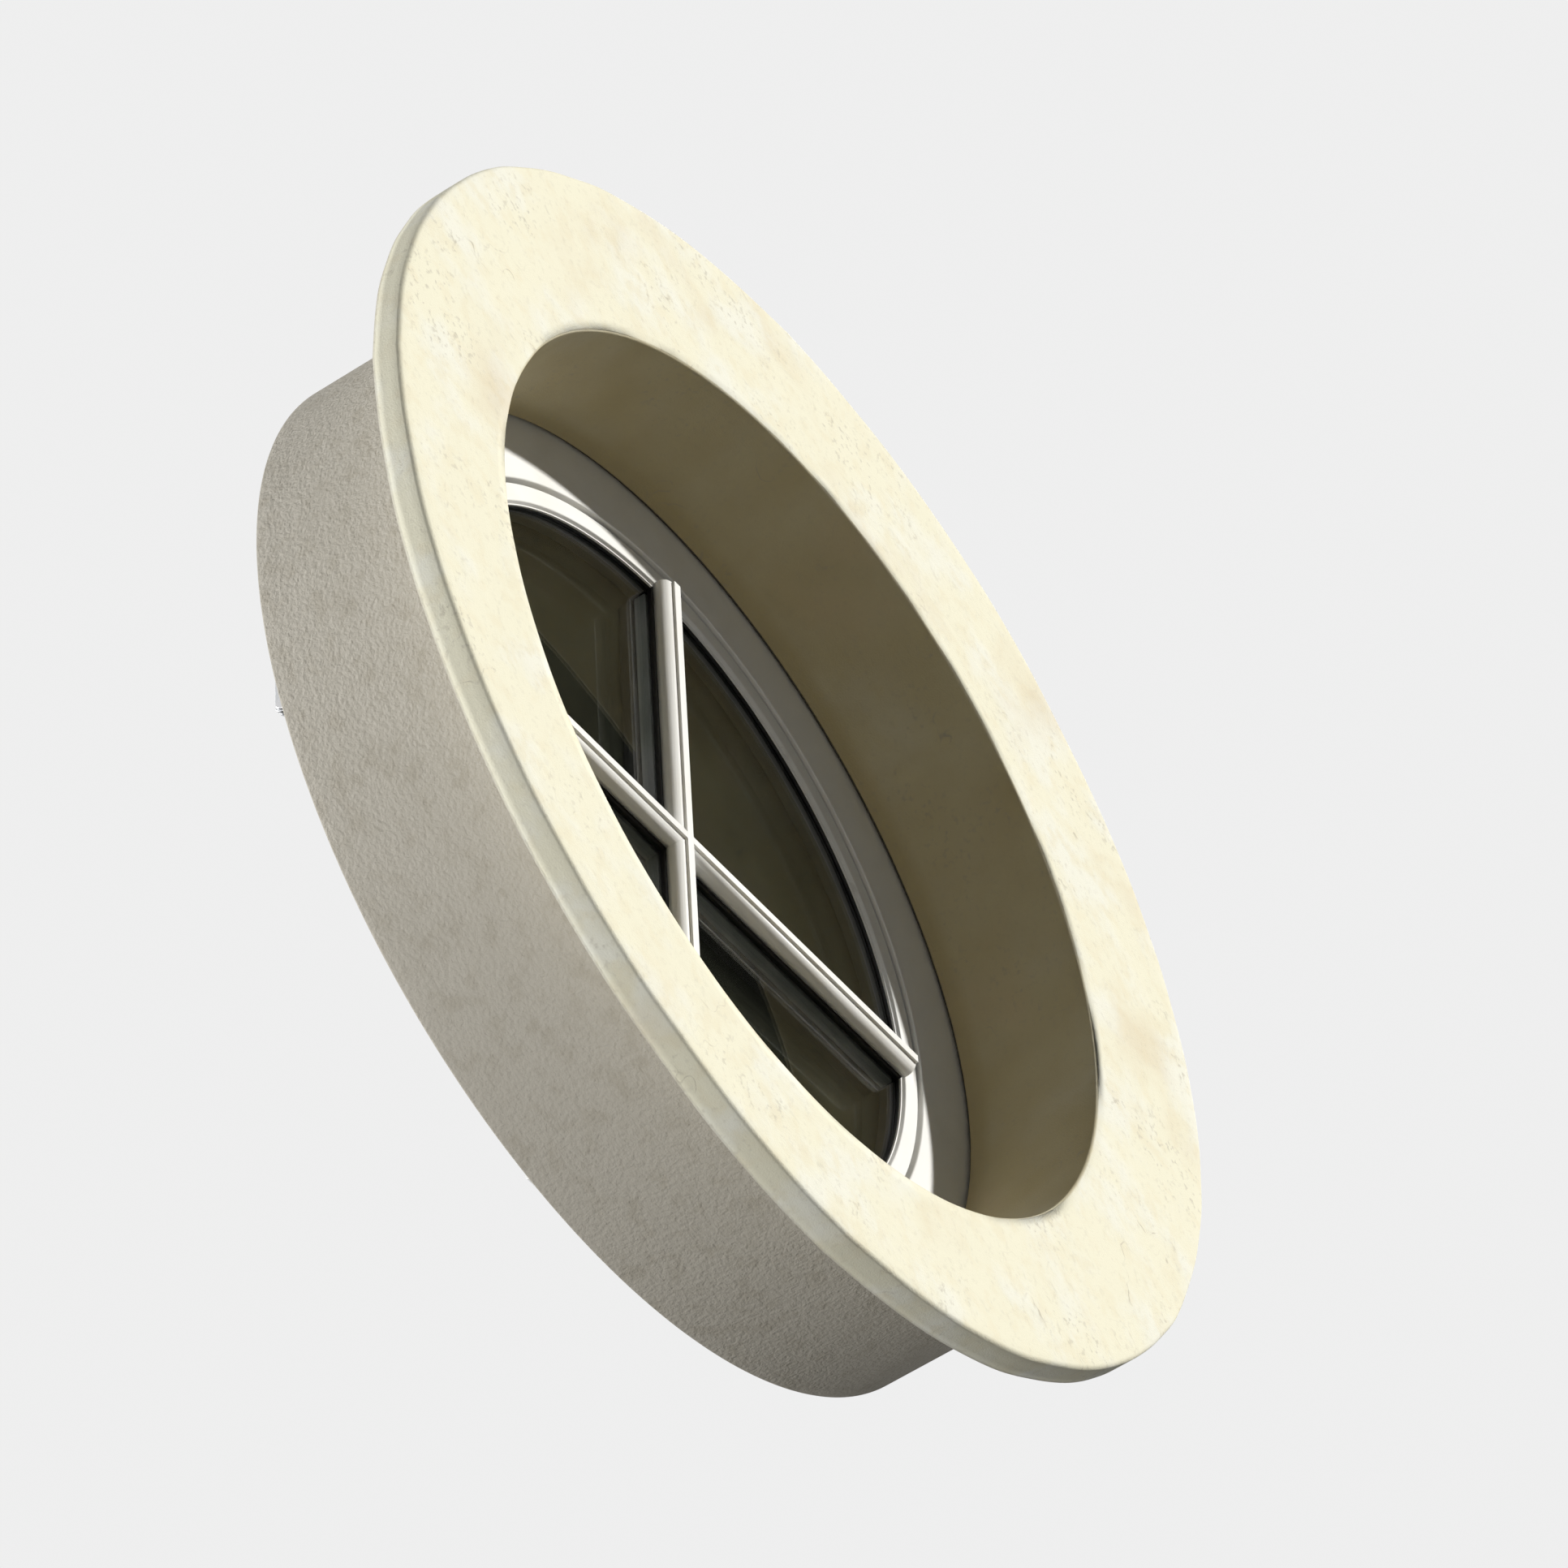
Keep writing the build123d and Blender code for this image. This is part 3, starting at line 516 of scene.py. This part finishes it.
# Worn edges: the mesh's own sharp places, broken up by noise.
worn_edges, entry, leave = new_group("worn edges", Sharpness=0.55, Scale=60.0)
pointed = place(worn_edges, "NewGeometry").outputs["Pointiness"]
broken = soft_noise(worn_edges, entry["Place"], entry["Scale"], 4.0)
rubbed = maths(worn_edges, "SUBTRACT", pointed, entry["Sharpness"])
rubbed = maths(worn_edges, "MULTIPLY", rubbed, 14.0, clamped=True)
chance = ramp(worn_edges, broken, 0.45, 0.62)
worn_edges.links.new(maths(worn_edges, "MULTIPLY", rubbed, chance), leave)

# Settled dust: faces that look upwards, in soft patches.
settled_dust, entry, leave = new_group("settled dust", Scale=25.0)
facing = place(settled_dust, "NewGeometry").outputs["Normal"]
upwards = place(settled_dust, "SeparateXYZ", {0: facing}).outputs[2]
film = soft_noise(settled_dust, entry["Place"], entry["Scale"], 4.0)
settled_dust.links.new(maths(settled_dust, "MULTIPLY", upwards, film, clamped=True), leave)

paint_white = (0.90, 0.897, 0.872)
paint_aged = (0.84, 0.825, 0.77)
paint_dust = (0.62, 0.58, 0.50)
timber_grey = (0.52, 0.47, 0.40)


def painted_timber(name, brush_group, along, across):
    """Opaque white paint on planed timber, with brush marks that run with the piece."""
    finish, tree, shader, spot = new_finish(name, paint_white, 0.4)
    shader["Specular IOR Level"].default_value = 0.32
    brush = use_group(tree, brush_group, Place=spot, Along=along, Across=across)
    yellowing = use_group(tree, patches, Place=spot, Scale=14.0, Low=0.45, High=0.75)
    dust = use_group(tree, settled_dust, Place=spot, Scale=40.0)
    worn = use_group(tree, worn_edges, Place=spot, Sharpness=0.58, Scale=70.0)
    fly_specks = use_group(tree, patches, Place=spot, Scale=260.0, Low=0.70, High=0.76)
    tone = lay_over(tree, paint_white, paint_aged, yellowing, 0.6)
    tone = lay_over(tree, tone, paint_dust, dust, 0.35)
    tone = lay_over(tree, tone, paint_dust, fly_specks, 0.35)
    tone = lay_over(tree, tone, timber_grey, worn, 0.25)
    tree.links.new(tone, shader["Base Color"])
    tree.links.new(between(tree, brush, 0.30, 0.50), shader["Roughness"])
    relief(tree, shader, (brush, 0.16), (yellowing, 0.12))
    return finish


ring_paint = painted_timber("white_wood_ring", round_marks, along=8.0, across=520.0)
frame_outline = [
    (frame_opening, frame_front, 1.2),
    (frame_radius, frame_front, 1),
    (frame_radius, frame_back, 1),
    (frame_rebate, frame_back, 2),
    (frame_rebate, frame_stop, 1),
    (frame_opening, frame_stop, 1.2),
]
ring = spun_ring(frame_outline)
window_frame = set_in("window_frame", ring, ring_paint, "fixed_frame", "white_wood", "frame_ring")

# The fixing holes are bored by four round cutters.
cutter_mesh = bpy.data.meshes.new("fixing_cutters")
bm = bmesh.new()
for angle in fixing_angles:
    bore_line = Vector((math.cos(math.radians(angle)), 0, math.sin(math.radians(angle))))
    middle = bore_line * (frame_rebate * MM) + Vector((0, fixing_depth * MM, 0))
    turn = bore_line.to_track_quat("Z", "Y").to_matrix().to_4x4()
    bmesh.ops.create_cone(
        bm,
        cap_ends=True,
        segments=32,
        radius1=fixing_bore * MM,
        radius2=fixing_bore * MM,
        depth=bore_length * MM,
        matrix=Matrix.Translation(middle) @ turn,
    )
bm.to_mesh(cutter_mesh)
bm.free()
cutters = bpy.data.objects.new("fixing_cutters", cutter_mesh)
scene.collection.objects.link(cutters)
boring = window_frame.modifiers.new("boring", "BOOLEAN")
boring.object = cutters
boring.operation = "DIFFERENCE"
window_frame.modifiers.move(1, 0)
bpy.context.view_layer.update()
bored = window_frame.evaluated_get(bpy.context.evaluated_depsgraph_get())
bored_mesh = bpy.data.meshes.new_from_object(bored)
window_frame.modifiers.clear()
window_frame.data = bored_mesh
window_frame.modifiers.new("flats", "WEIGHTED_NORMAL").keep_sharp = True
bpy.data.objects.remove(cutters)


# Frame fixings and packers
# Four plated screws sit in the bored rebate and bite into the surround, with a moulded plastic packer at each
# side. Blocks of the same plastic hold the glass unit off the sash.
def steel(name, colour, roughness, lay_scale, wear_colour):
    """Plated or bare steel with a fine lay, finger-dulled patches and brighter edges."""
    finish, tree, shader, spot = new_finish(name, colour, roughness, metallic=1.0)
    dull = use_group(tree, patches, Place=spot, Scale=90.0, Low=0.35, High=0.70)
    worn = use_group(tree, worn_edges, Place=spot, Sharpness=0.54, Scale=120.0)
    lay_place = place(tree, "Mapping", {0: spot, "Scale": lay_scale}).outputs[0]
    lay = soft_noise(tree, lay_place, 1.0, 3.0)
    deep_tone = tuple(part * 0.72 for part in colour)
    tone = lay_over(tree, colour, deep_tone, dull, 0.6)
    tone = lay_over(tree, tone, wear_colour, worn, 0.6)
    tree.links.new(tone, shader["Base Color"])
    tree.links.new(between(tree, dull, roughness - 0.08, roughness + 0.14), shader["Roughness"])
    relief(tree, shader, (lay, 0.04))
    return finish


def softened(node_name, piece_name, finish, slot, arris, cuts=2, least_turn=32):
    """Set in a copy of a CAD node's mesh, its triangles joined and its arrises rounded, on the node's body.

    An arris is rounded where the faces turn by more than least_turn degrees.
    """
    node = frame["nodes"][node_name]
    bm = bmesh.new()
    bm.from_mesh(node.data)
    bmesh.ops.remove_doubles(bm, verts=bm.verts, dist=JOIN)
    bmesh.ops.dissolve_limit(bm, angle_limit=math.radians(1), verts=bm.verts, edges=bm.edges)
    closed = [edge for edge in bm.edges if edge.is_manifold]
    sharp = [edge for edge in closed if edge.calc_face_angle() > math.radians(least_turn)]
    bmesh.ops.bevel(
        bm,
        geom=sharp,
        offset=arris * MM,
        offset_type="OFFSET",
        segments=cuts,
        profile=0.5,
        affect="EDGES",
        clamp_overlap=True,
        material=-1,
    )
    return set_in(piece_name, bm, finish, node["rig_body"], slot, node_name)


bright_steel = steel("bright_steel", (0.72, 0.72, 0.73), 0.26, (900, 900, 900), (0.86, 0.86, 0.86))
zinc_steel = steel("zinc_steel", (0.62, 0.63, 0.64), 0.36, (1600, 1600, 90), (0.80, 0.81, 0.82))
softened("frame_screws", "fixing_screws", bright_steel, "bright_steel", 0.5)

packer_blue = (0.12, 0.24, 0.48)
scuffed_blue = (0.25, 0.36, 0.55)
packer_plastic, tree, shader, spot = new_finish("packer_plastic", packer_blue, 0.5)
scuff = use_group(tree, patches, Place=spot, Scale=120.0, Low=0.45, High=0.75)
tree.links.new(lay_over(tree, packer_blue, scuffed_blue, scuff), shader["Base Color"])
tree.links.new(between(tree, scuff, 0.42, 0.62), shader["Roughness"])
relief(tree, shader, (scuff, 0.05))
softened("frame_packers", "moulded_packers", packer_plastic, "packer_plastic", 0.6)
softened("setting_blocks", "glass_blocks", packer_plastic, "packer_plastic", 0.6)


# Weather seals and glazing gaskets
# Black extruded rubber: a bulb on the frame's lip, another under the sash's flange, and a flat lipped
# strip on each side of the glass unit, pushed into place and cut to meet at the foot.
bulb_width = 6.0
flange_front = 168.0
glass_radius = 309.0
sight_edge = 299.5
glass_stop = 108.0
outer_face = 111.0
inner_face = 135.0
bead_front = 138.0
rubber_black = (0.016, 0.016, 0.016)
rubber_grey = (0.12, 0.115, 0.10)
rubber, tree, shader, spot = new_finish("black_rubber", rubber_black, 0.55)
drawn = use_group(tree, round_marks, Place=spot, Along=6.0, Across=900.0)
rubber_dust = use_group(tree, settled_dust, Place=spot, Scale=60.0)
tree.links.new(lay_over(tree, rubber_black, rubber_grey, rubber_dust, 0.6), shader["Base Color"])
tree.links.new(between(tree, drawn, 0.45, 0.70), shader["Roughness"])
relief(tree, shader, (drawn, 0.06))


def bulb(inner, foot, rise, rounding):
    """The section of a bulb seal: flat on the face that it stands on, and rounded where it is pressed."""
    outer = inner + bulb_width
    top = foot + rise
    return [(inner, foot, 0), (inner, top, rounding), (outer, top, rounding), (outer, foot, 0)]


outer_strip = [
    (sight_edge, glass_stop, 0.7),
    (glass_radius, glass_stop, 0),
    (glass_radius, outer_face, 0),
    (sight_edge, outer_face, 0.9),
]
inner_strip = [
    (sight_edge, inner_face, 0.9),
    (glass_radius, inner_face, 0),
    (glass_radius, bead_front, 0),
    (sight_edge, bead_front, 0.7),
]
strips = {
    "frame_weather_seal": ("frame_bulb_seal", "fixed_frame", bulb(329.0, frame_stop, 3.7, 1.8)),
    "sash_weather_seal": ("sash_bulb_seal", "sash", bulb(356.0, flange_front, -2.7, 1.3)),
    "outer_gasket": ("outer_glass_gasket", "sash", outer_strip),
    "inner_gasket": ("inner_glass_gasket", "sash", inner_strip),
}
for node_name, (piece_name, body, outline) in strips.items():
    set_in(piece_name, spun_ring(outline), rubber, body, "black_rubber", node_name)


# Sash
# A second timber ring in the same paint, with a bevelled edge towards the glass and a small step at its foot.
# Its nose stands in the frame's opening, and its flange laps the frame's room face.
sash_edge = 302.0
sash_nose = 318.0
sash_body = 343.0
sash_flange = 363.0
sash_rebate = 313.0
sash_front = 103.0
bevel_foot = 106.0
bevel_step = 1.0
nose_back = 124.0
sash_back = 178.0
sash_outline = [
    (sash_edge, sash_front, 0.8),
    (sash_nose, sash_front, 0.9),
    (sash_nose, nose_back, 0.8),
    (sash_body, nose_back, 1.5),
    (sash_body, flange_front, 0.5),
    (sash_flange, flange_front, 1.5),
    (sash_flange, sash_back, 3),
    (sash_rebate, sash_back, 1.5),
    (sash_rebate, glass_stop, 0),
    (sight_edge, glass_stop, 0.3),
    (sight_edge, bevel_foot, 0.3),
    (sight_edge + bevel_step, bevel_foot, 0.2),
]
set_in("timber_sash", spun_ring(sash_outline), ring_paint, "sash", "white_wood", "sash_ring")


# Sealed glass unit
# Two panes of float glass stand either side of a black spacer, sealed round the edge, with grey spacer
# bars between them behind the planted ones.
# The dark room beyond is painted into the panes as shade: the inner pane is tinted deep grey-brown and the
# outer a little, both clear where a bar is planted on them.
pane_thickness = 4.0
cavity_front = outer_face + pane_thickness
cavity_back = inner_face - pane_thickness
pane_arris = 0.6
spacer_inner = 300.5
spacer_outer = 306.5

# Behind a bar the glass is clear as far as clear_half from the bar's middle; from the wider half-width on it
# is tinted dark, painted shade that stands for the unlit room beyond.
clear_half = 10.0
room_shade_half = 10.6
clear_glass = (0.86, 0.88, 0.86)


def float_glass(name, room_shade_colour):
    """Clear glass tinted with painted shade of the dark room everywhere but behind the bars, the tint broken
    by faint rain marks.
    """
    finish, tree, shader, spot = new_finish(name, clear_glass, 0.0)
    shader["Transmission Weight"].default_value = 1.0
    shader["IOR"].default_value = 1.38
    parts = place(tree, "SeparateXYZ", {0: spot}).outputs
    off_upright = maths(tree, "ABSOLUTE", parts[0])
    off_cross = maths(tree, "ABSOLUTE", parts[2])
    nearest = maths(tree, "MINIMUM", off_upright, off_cross)
    # Painted shade: the glass is tinted dark to stand for the unlit room, except behind a bar.
    room_shade_mask = ramp(tree, nearest, clear_half * MM, room_shade_half * MM)
    marks = use_group(tree, patches, Place=spot, Scale=8.0, Low=0.35, High=0.75)
    marked_room_shade = lay_over(tree, room_shade_colour, tuple(part * 1.5 for part in room_shade_colour), marks)
    tree.links.new(lay_over(tree, clear_glass, marked_room_shade, room_shade_mask), shader["Base Color"])
    return finish


# The deep colours are painted shade of the dark room: strong on the inner pane, slight on the outer.
panes = {
    "outer_pane": ("outer_glass", outer_face, float_glass("pane_outer", (0.80, 0.82, 0.78))),
    "inner_pane": ("inner_glass", cavity_back, float_glass("pane_inner", (0.018, 0.019, 0.013))),
}
for node_name, (piece_name, pane_front, glass) in panes.items():
    bm = bmesh.new()
    upright_disc = Matrix.Translation((0, pane_front * MM, 0)) @ Matrix.Rotation(math.radians(90), 4, "X")
    bmesh.ops.create_circle(bm, cap_ends=True, segments=192, radius=glass_radius * MM, matrix=upright_disc)
    lifted = bmesh.ops.extrude_face_region(bm, geom=bm.faces[:])
    moved = [part for part in lifted["geom"] if isinstance(part, bmesh.types.BMVert)]
    bmesh.ops.translate(bm, verts=moved, vec=(0, pane_thickness * MM, 0))
    bmesh.ops.recalc_face_normals(bm, faces=bm.faces)
    bmesh.ops.bevel(
        bm,
        geom=[edge for edge in bm.edges if edge.calc_face_angle() > 1],
        offset=pane_arris * MM,
        offset_type="OFFSET",
        segments=1,
        profile=0.5,
        affect="EDGES",
        material=-1,
    )
    set_in(piece_name, bm, glass, "sash", "pane", node_name)


def coated_spacer(name, colour, rubbed_colour):
    """Thin coated metal, drawn through a die, with faint marks of it."""
    finish, tree, shader, spot = new_finish(name, colour, 0.45)
    lay = use_group(tree, round_marks, Place=spot, Along=10.0, Across=700.0)
    tree.links.new(lay_over(tree, colour, rubbed_colour, lay), shader["Base Color"])
    tree.links.new(between(tree, lay, 0.38, 0.58), shader["Roughness"])
    relief(tree, shader, (lay, 0.05))
    return finish


spacer_black = coated_spacer("black_spacer", (0.022, 0.022, 0.022), (0.05, 0.05, 0.05))
spacer_grey = coated_spacer("grey_spacer", (0.52, 0.54, 0.54), (0.60, 0.61, 0.61))
spacer_outline = [
    (spacer_inner, cavity_front, 0.8),
    (spacer_outer, cavity_front, 0),
    (spacer_outer, cavity_back, 0),
    (spacer_inner, cavity_back, 0.8),
]
edge_outline = [
    (spacer_outer, cavity_front, 0),
    (glass_radius, cavity_front, 1),
    (glass_radius, cavity_back, 1),
    (spacer_outer, cavity_back, 0),
]
set_in("spacer_bar_ring", spun_ring(spacer_outline), spacer_black, "sash", "black_spacer", "spacer_ring")
set_in("unit_edge_seal", spun_ring(edge_outline), rubber, "sash", "black_rubber", "edge_seal")
for bar_name in ("upright", "left", "right"):
    softened("spacer_bar_" + bar_name, "cavity_bar_" + bar_name, spacer_grey, "grey_spacer", 0.8)


# Glazing bead
# A splayed timber bead, steamed to the curve and pinned into the sash's rebate from the room.
# The pins stand across its splayed face, painted over with it.
bead_back = 175.0
bead_crest = 305.0
splay_start = 162.0
bead_outline = [
    (sight_edge, splay_start, 2),
    (sight_edge, bead_front, 0.5),
    (sash_rebate, bead_front, 0),
    (sash_rebate, bead_back, 0.8),
    (bead_crest, bead_back, 2.5),
]
set_in("timber_bead", spun_ring(bead_outline), ring_paint, "sash", "white_wood", "glazing_bead")

pin_count = 16
pin_radius = 0.9
pin_taper = 0.7
pin_shown = 0.9
pin_middle = Vector((302.5, 169.0, 0)) * MM
pin_facing = Vector((splay_start - bead_back, bead_crest - sight_edge, 0))
pin_lean = pin_facing.to_track_quat("Z", "Y").to_matrix().to_4x4()
bm = bmesh.new()
for index in range(pin_count):
    turn = Matrix.Rotation(math.tau * (index + 0.5) / pin_count, 4, "Y")
    bmesh.ops.create_cone(
        bm,
        cap_ends=True,
        segments=12,
        radius1=pin_radius * MM,
        radius2=pin_radius * pin_taper * MM,
        depth=pin_shown * MM,
        matrix=turn @ Matrix.Translation(pin_middle) @ pin_lean,
    )
set_in("bead_pins", bm, ring_paint, "sash", "white_wood")


# Glazing bars
# Moulded timber bars are planted on both faces of the glass, each on a black bedding strip: a narrow base,
# a quarter round each side and a flat nose. The cross pieces are coped over the upright in mitre lines.
bar_half = 12.6
nose_half = 4.0
bar_foot = 7.5
bar_step = 20.0
bar_height = 22.5
bar_reach = 299.2
bar_arris = 0.45
bar_arris_cuts = 2
quarter_round = bar_half - nose_half - 0.02
quarter_round_cuts = 12
bedding_half = 10.5

# Marks along a bar: streaks that run with the upright or with the cross pieces.
bar_marks, entry, leave = new_group("marks along a bar", Along=8.0, Across=500.0)
parts = place(bar_marks, "SeparateXYZ", {0: entry["Place"]}).outputs
off_upright = maths(bar_marks, "ABSOLUTE", parts[0])
off_cross = maths(bar_marks, "ABSOLUTE", parts[2])
upright_run = maths(bar_marks, "LESS_THAN", off_upright, off_cross)
run = place(bar_marks, "Mix", {0: upright_run, 2: parts[0], 3: parts[2]}).outputs[0]
cross = place(bar_marks, "Mix", {0: upright_run, 2: parts[2], 3: parts[0]}).outputs[0]
streak_parts = {
    0: maths(bar_marks, "MULTIPLY", run, entry["Along"]),
    1: maths(bar_marks, "MULTIPLY", cross, entry["Across"]),
    2: maths(bar_marks, "MULTIPLY", parts[1], entry["Across"]),
}
streak_place = place(bar_marks, "CombineXYZ", streak_parts).outputs[0]
bar_marks.links.new(soft_noise(bar_marks, streak_place, 1.0, 3.0), leave)
bar_paint = painted_timber("white_wood_bar", bar_marks, along=12.0, across=520.0)


def glazing_bar(outline, run_from, run_to):
    """One bar from its section of places across, depths and roundings, drawn out and trimmed to its ends.

    run_from and run_to give the place of each end along the bar for a place across it.
    """
    bm = section_face(outline, bar_arris_cuts, quarter_round_cuts)
    near = bm.verts[:]
    drawn_out = bmesh.ops.extrude_face_region(bm, geom=bm.faces[:])
    far = [part for part in drawn_out["geom"] if isinstance(part, bmesh.types.BMVert)]
    for corner in near:
        corner.co.z = run_from(corner.co.x / MM) * MM
    for corner in far:
        corner.co.z = run_to(corner.co.x / MM) * MM
    bmesh.ops.recalc_face_normals(bm, faces=bm.faces)
    return bm


def at_ring(across):
    """Where the sash's edge cuts a bar, at a place across it."""
    return math.sqrt(bar_reach**2 - across**2)


def at_far_ring(across):
    """Where the sash's edge cuts the other end of the upright."""
    return -at_ring(across)


def at_mitre(across):
    """Where the coped end of a cross piece meets the upright."""
    return max(abs(across), nose_half)


def at_bedding(across):
    """Where the bedding of a cross piece meets the upright's, all the way across."""
    return bedding_half


bar_faces = {"outer": (outer_face, -1), "inner": (inner_face, 1)}
for face_name, (glass_face, outwards) in bar_faces.items():
    foot, top, nose = (glass_face + outwards * rise for rise in (bar_foot, bar_step, bar_height))
    moulding = [
        (-bar_half, foot, 0),
        (-bar_half, top, quarter_round),
        (-nose_half, top, 0),
        (-nose_half, nose, bar_arris),
        (nose_half, nose, bar_arris),
        (nose_half, top, 0),
        (bar_half, top, quarter_round),
        (bar_half, foot, 0),
    ]
    bedding = [
        (-bedding_half, glass_face, 0),
        (-bedding_half, foot, 0),
        (bedding_half, foot, 0),
        (bedding_half, glass_face, 0),
    ]
    for section, label, finish, slot, inner_end in (
        (moulding, "", bar_paint, "white_wood", at_mitre),
        (bedding, "_bedding", rubber, "black_rubber", at_bedding),
    ):
        bm = glazing_bar(section, at_far_ring, at_ring)
        stands_for = [] if label else [face_name + "_bar_upright"]
        set_in(face_name + "_upright" + label, bm, finish, "sash", slot, *stands_for)
        for side_name, quarter in (("left", -90), ("right", 90)):
            bm = glazing_bar(section, inner_end, at_ring)
            turn = Matrix.Rotation(math.radians(quarter), 3, "Y")
            bmesh.ops.rotate(bm, cent=(0, 0, 0), matrix=turn, verts=bm.verts)
            stands_for = [] if label else [face_name + "_bar_" + side_name]
            set_in(face_name + "_cross_" + side_name + label, bm, finish, "sash", slot, *stands_for)


# Hinges
# A pair of cranked steel hinges at the foot, powder-coated white: one leaf on the frame and one on the sash,
# with a plain pin through three knuckles.
coat_white = (0.84, 0.84, 0.82)
coat_handled = (0.74, 0.73, 0.69)
coat_rubbed = (0.45, 0.45, 0.44)
white_steel, tree, shader, spot = new_finish("white_steel", coat_white, 0.34)
peel = soft_noise(tree, spot, 650.0, 2.0)
handled = use_group(tree, patches, Place=spot, Scale=45.0, Low=0.45, High=0.72)
worn = use_group(tree, worn_edges, Place=spot, Sharpness=0.56, Scale=150.0)
tone = lay_over(tree, coat_white, coat_handled, handled, 0.5)
tree.links.new(lay_over(tree, tone, coat_rubbed, worn, 0.5), shader["Base Color"])
tree.links.new(between(tree, handled, 0.28, 0.46), shader["Roughness"])
relief(tree, shader, (peel, 0.05))
for side_name in ("left", "right"):
    softened("hinge_frame_leaf_" + side_name, "frame_leaf_" + side_name, white_steel, "white_steel", 0.5)
    softened("hinge_sash_leaf_" + side_name, "sash_leaf_" + side_name, white_steel, "white_steel", 0.5)
    softened("hinge_pin_" + side_name, "knuckle_pin_" + side_name, bright_steel, "bright_steel", 0.5)


# Folding stays
# Zinc-plated strip: an angle bracket and an arm on the frame, the same on the sash, riveted at the eyes
# and joined at the knee by a headed pin.
for side_name in ("left", "right"):
    for part_name, finish, slot, rounding in (
        ("frame_bracket_", zinc_steel, "zinc_steel", 0.5),
        ("sash_bracket_", zinc_steel, "zinc_steel", 0.5),
        ("frame_arm_", zinc_steel, "zinc_steel", 0.6),
        ("sash_arm_", zinc_steel, "zinc_steel", 0.6),
        ("frame_rivet_", bright_steel, "bright_steel", 0.7),
        ("sash_rivet_", bright_steel, "bright_steel", 0.7),
        ("knee_pin_", bright_steel, "bright_steel", 0.7),
    ):
        full_name = part_name + side_name
        softened("stay_" + full_name, "folding_" + full_name, finish, slot, rounding)


# Handle and keeper
# A die-cast lever on a rounded base plate, powder-coated white like the hinges, turns a flat spur behind
# a bent hook that is screwed to the frame.
softened("handle_base", "handle_plate", white_steel, "white_steel", 1.2, cuts=3)
softened("handle_lever", "handle_grip", white_steel, "white_steel", 1.5, cuts=3, least_turn=40)
softened("handle_rivet", "handle_pivot", bright_steel, "bright_steel", 0.6)
softened("keeper", "hook_keeper", zinc_steel, "zinc_steel", 0.4)


# Wood screws
# Raised-head screws with a six-lobed recess hold the ironmongery: two or three to each plate. Those of the
# handle plate are sunk almost flush, because the lever and its spur pass over them.
screw_rise = 0.9
sunk_rise = 0.3
recess_depth = 1.4
recess_lobes = 6
lobe_size = 0.13
frame_plate_face = 168.0
sash_plate_face = 181.0
handle_plate_face = 182.0


def wood_screws(name, body, face, head_radius, seats, crown=screw_rise):
    """Screw heads on a face that looks into the room, one at each seat across and up."""
    bm = bmesh.new()
    loops = (
        (1.0, 0.0, 0.0),
        (0.97, 0.35, 0.0),
        (0.72, 1.0, 0.0),
        (0.42, 1.0, lobe_size),
        (0.40, 1.0 - recess_depth / crown, lobe_size),
    )
    room_side_up = Matrix.Rotation(math.radians(-90), 4, "X")
    for seat_x, seat_z in seats:
        seat = Matrix.Translation((seat_x * MM, face * MM, seat_z * MM)) @ room_side_up
        rings = []
        for share, rise, lobes in loops:
            made = bmesh.ops.create_circle(bm, segments=24, radius=head_radius * share * MM)["verts"]
            for corner in made:
                turn = math.atan2(corner.co.y, corner.co.x)
                corner.co *= 1 + lobes * math.cos(recess_lobes * turn)
                corner.co.z = rise * crown * MM
            bmesh.ops.transform(bm, matrix=seat, verts=made)
            rings.append(list({edge for corner in made for edge in corner.link_edges}))
        for lower, upper in zip(rings, rings[1:]):
            bmesh.ops.bridge_loops(bm, edges=lower + upper)
        bmesh.ops.edgeloop_fill(bm, edges=rings[-1])
        bmesh.ops.edgeloop_fill(bm, edges=rings[0])
    bmesh.ops.recalc_face_normals(bm, faces=bm.faces)
    return set_in(name, bm, bright_steel, body, "bright_steel")


# For each pair of plates: the body they are on, the depth of their face, the size of the screw heads, and
# where the holes are on the right-hand plate, across and up.
plates = {
    "frame_leaf_screws_": ("fixed_frame", frame_plate_face, 3.6, [(44.0, -387.0), (76.0, -387.0)]),
    "sash_leaf_screws_": ("sash", sash_plate_face, 3.6, [(44.0, -333.0), (76.0, -333.0), (60.0, -345.0)]),
    "frame_bracket_screws_": ("fixed_frame", frame_plate_face, 3.2, [(385.9, 88.0), (385.9, 108.0)]),
    "sash_bracket_screws_": ("sash", sash_plate_face, 3.4, [(328.0, 120.0), (350.0, 120.0)]),
}
for side_name, side in (("left", -1), ("right", 1)):
    for plate_name, (body, face, head_radius, holes) in plates.items():
        seats = [(side * across, up) for across, up in holes]
        wood_screws(plate_name + side_name, body, face, head_radius, seats)
handle_holes = [(0, 355.4), (0, 320.6)]
keeper_holes = [(-9, 382.0), (9, 382.0)]
wood_screws("handle_plate_screws", "sash", handle_plate_face, 2.8, handle_holes, crown=sunk_rise)
wood_screws("keeper_screws", "fixed_frame", frame_plate_face, 3.2, keeper_holes)
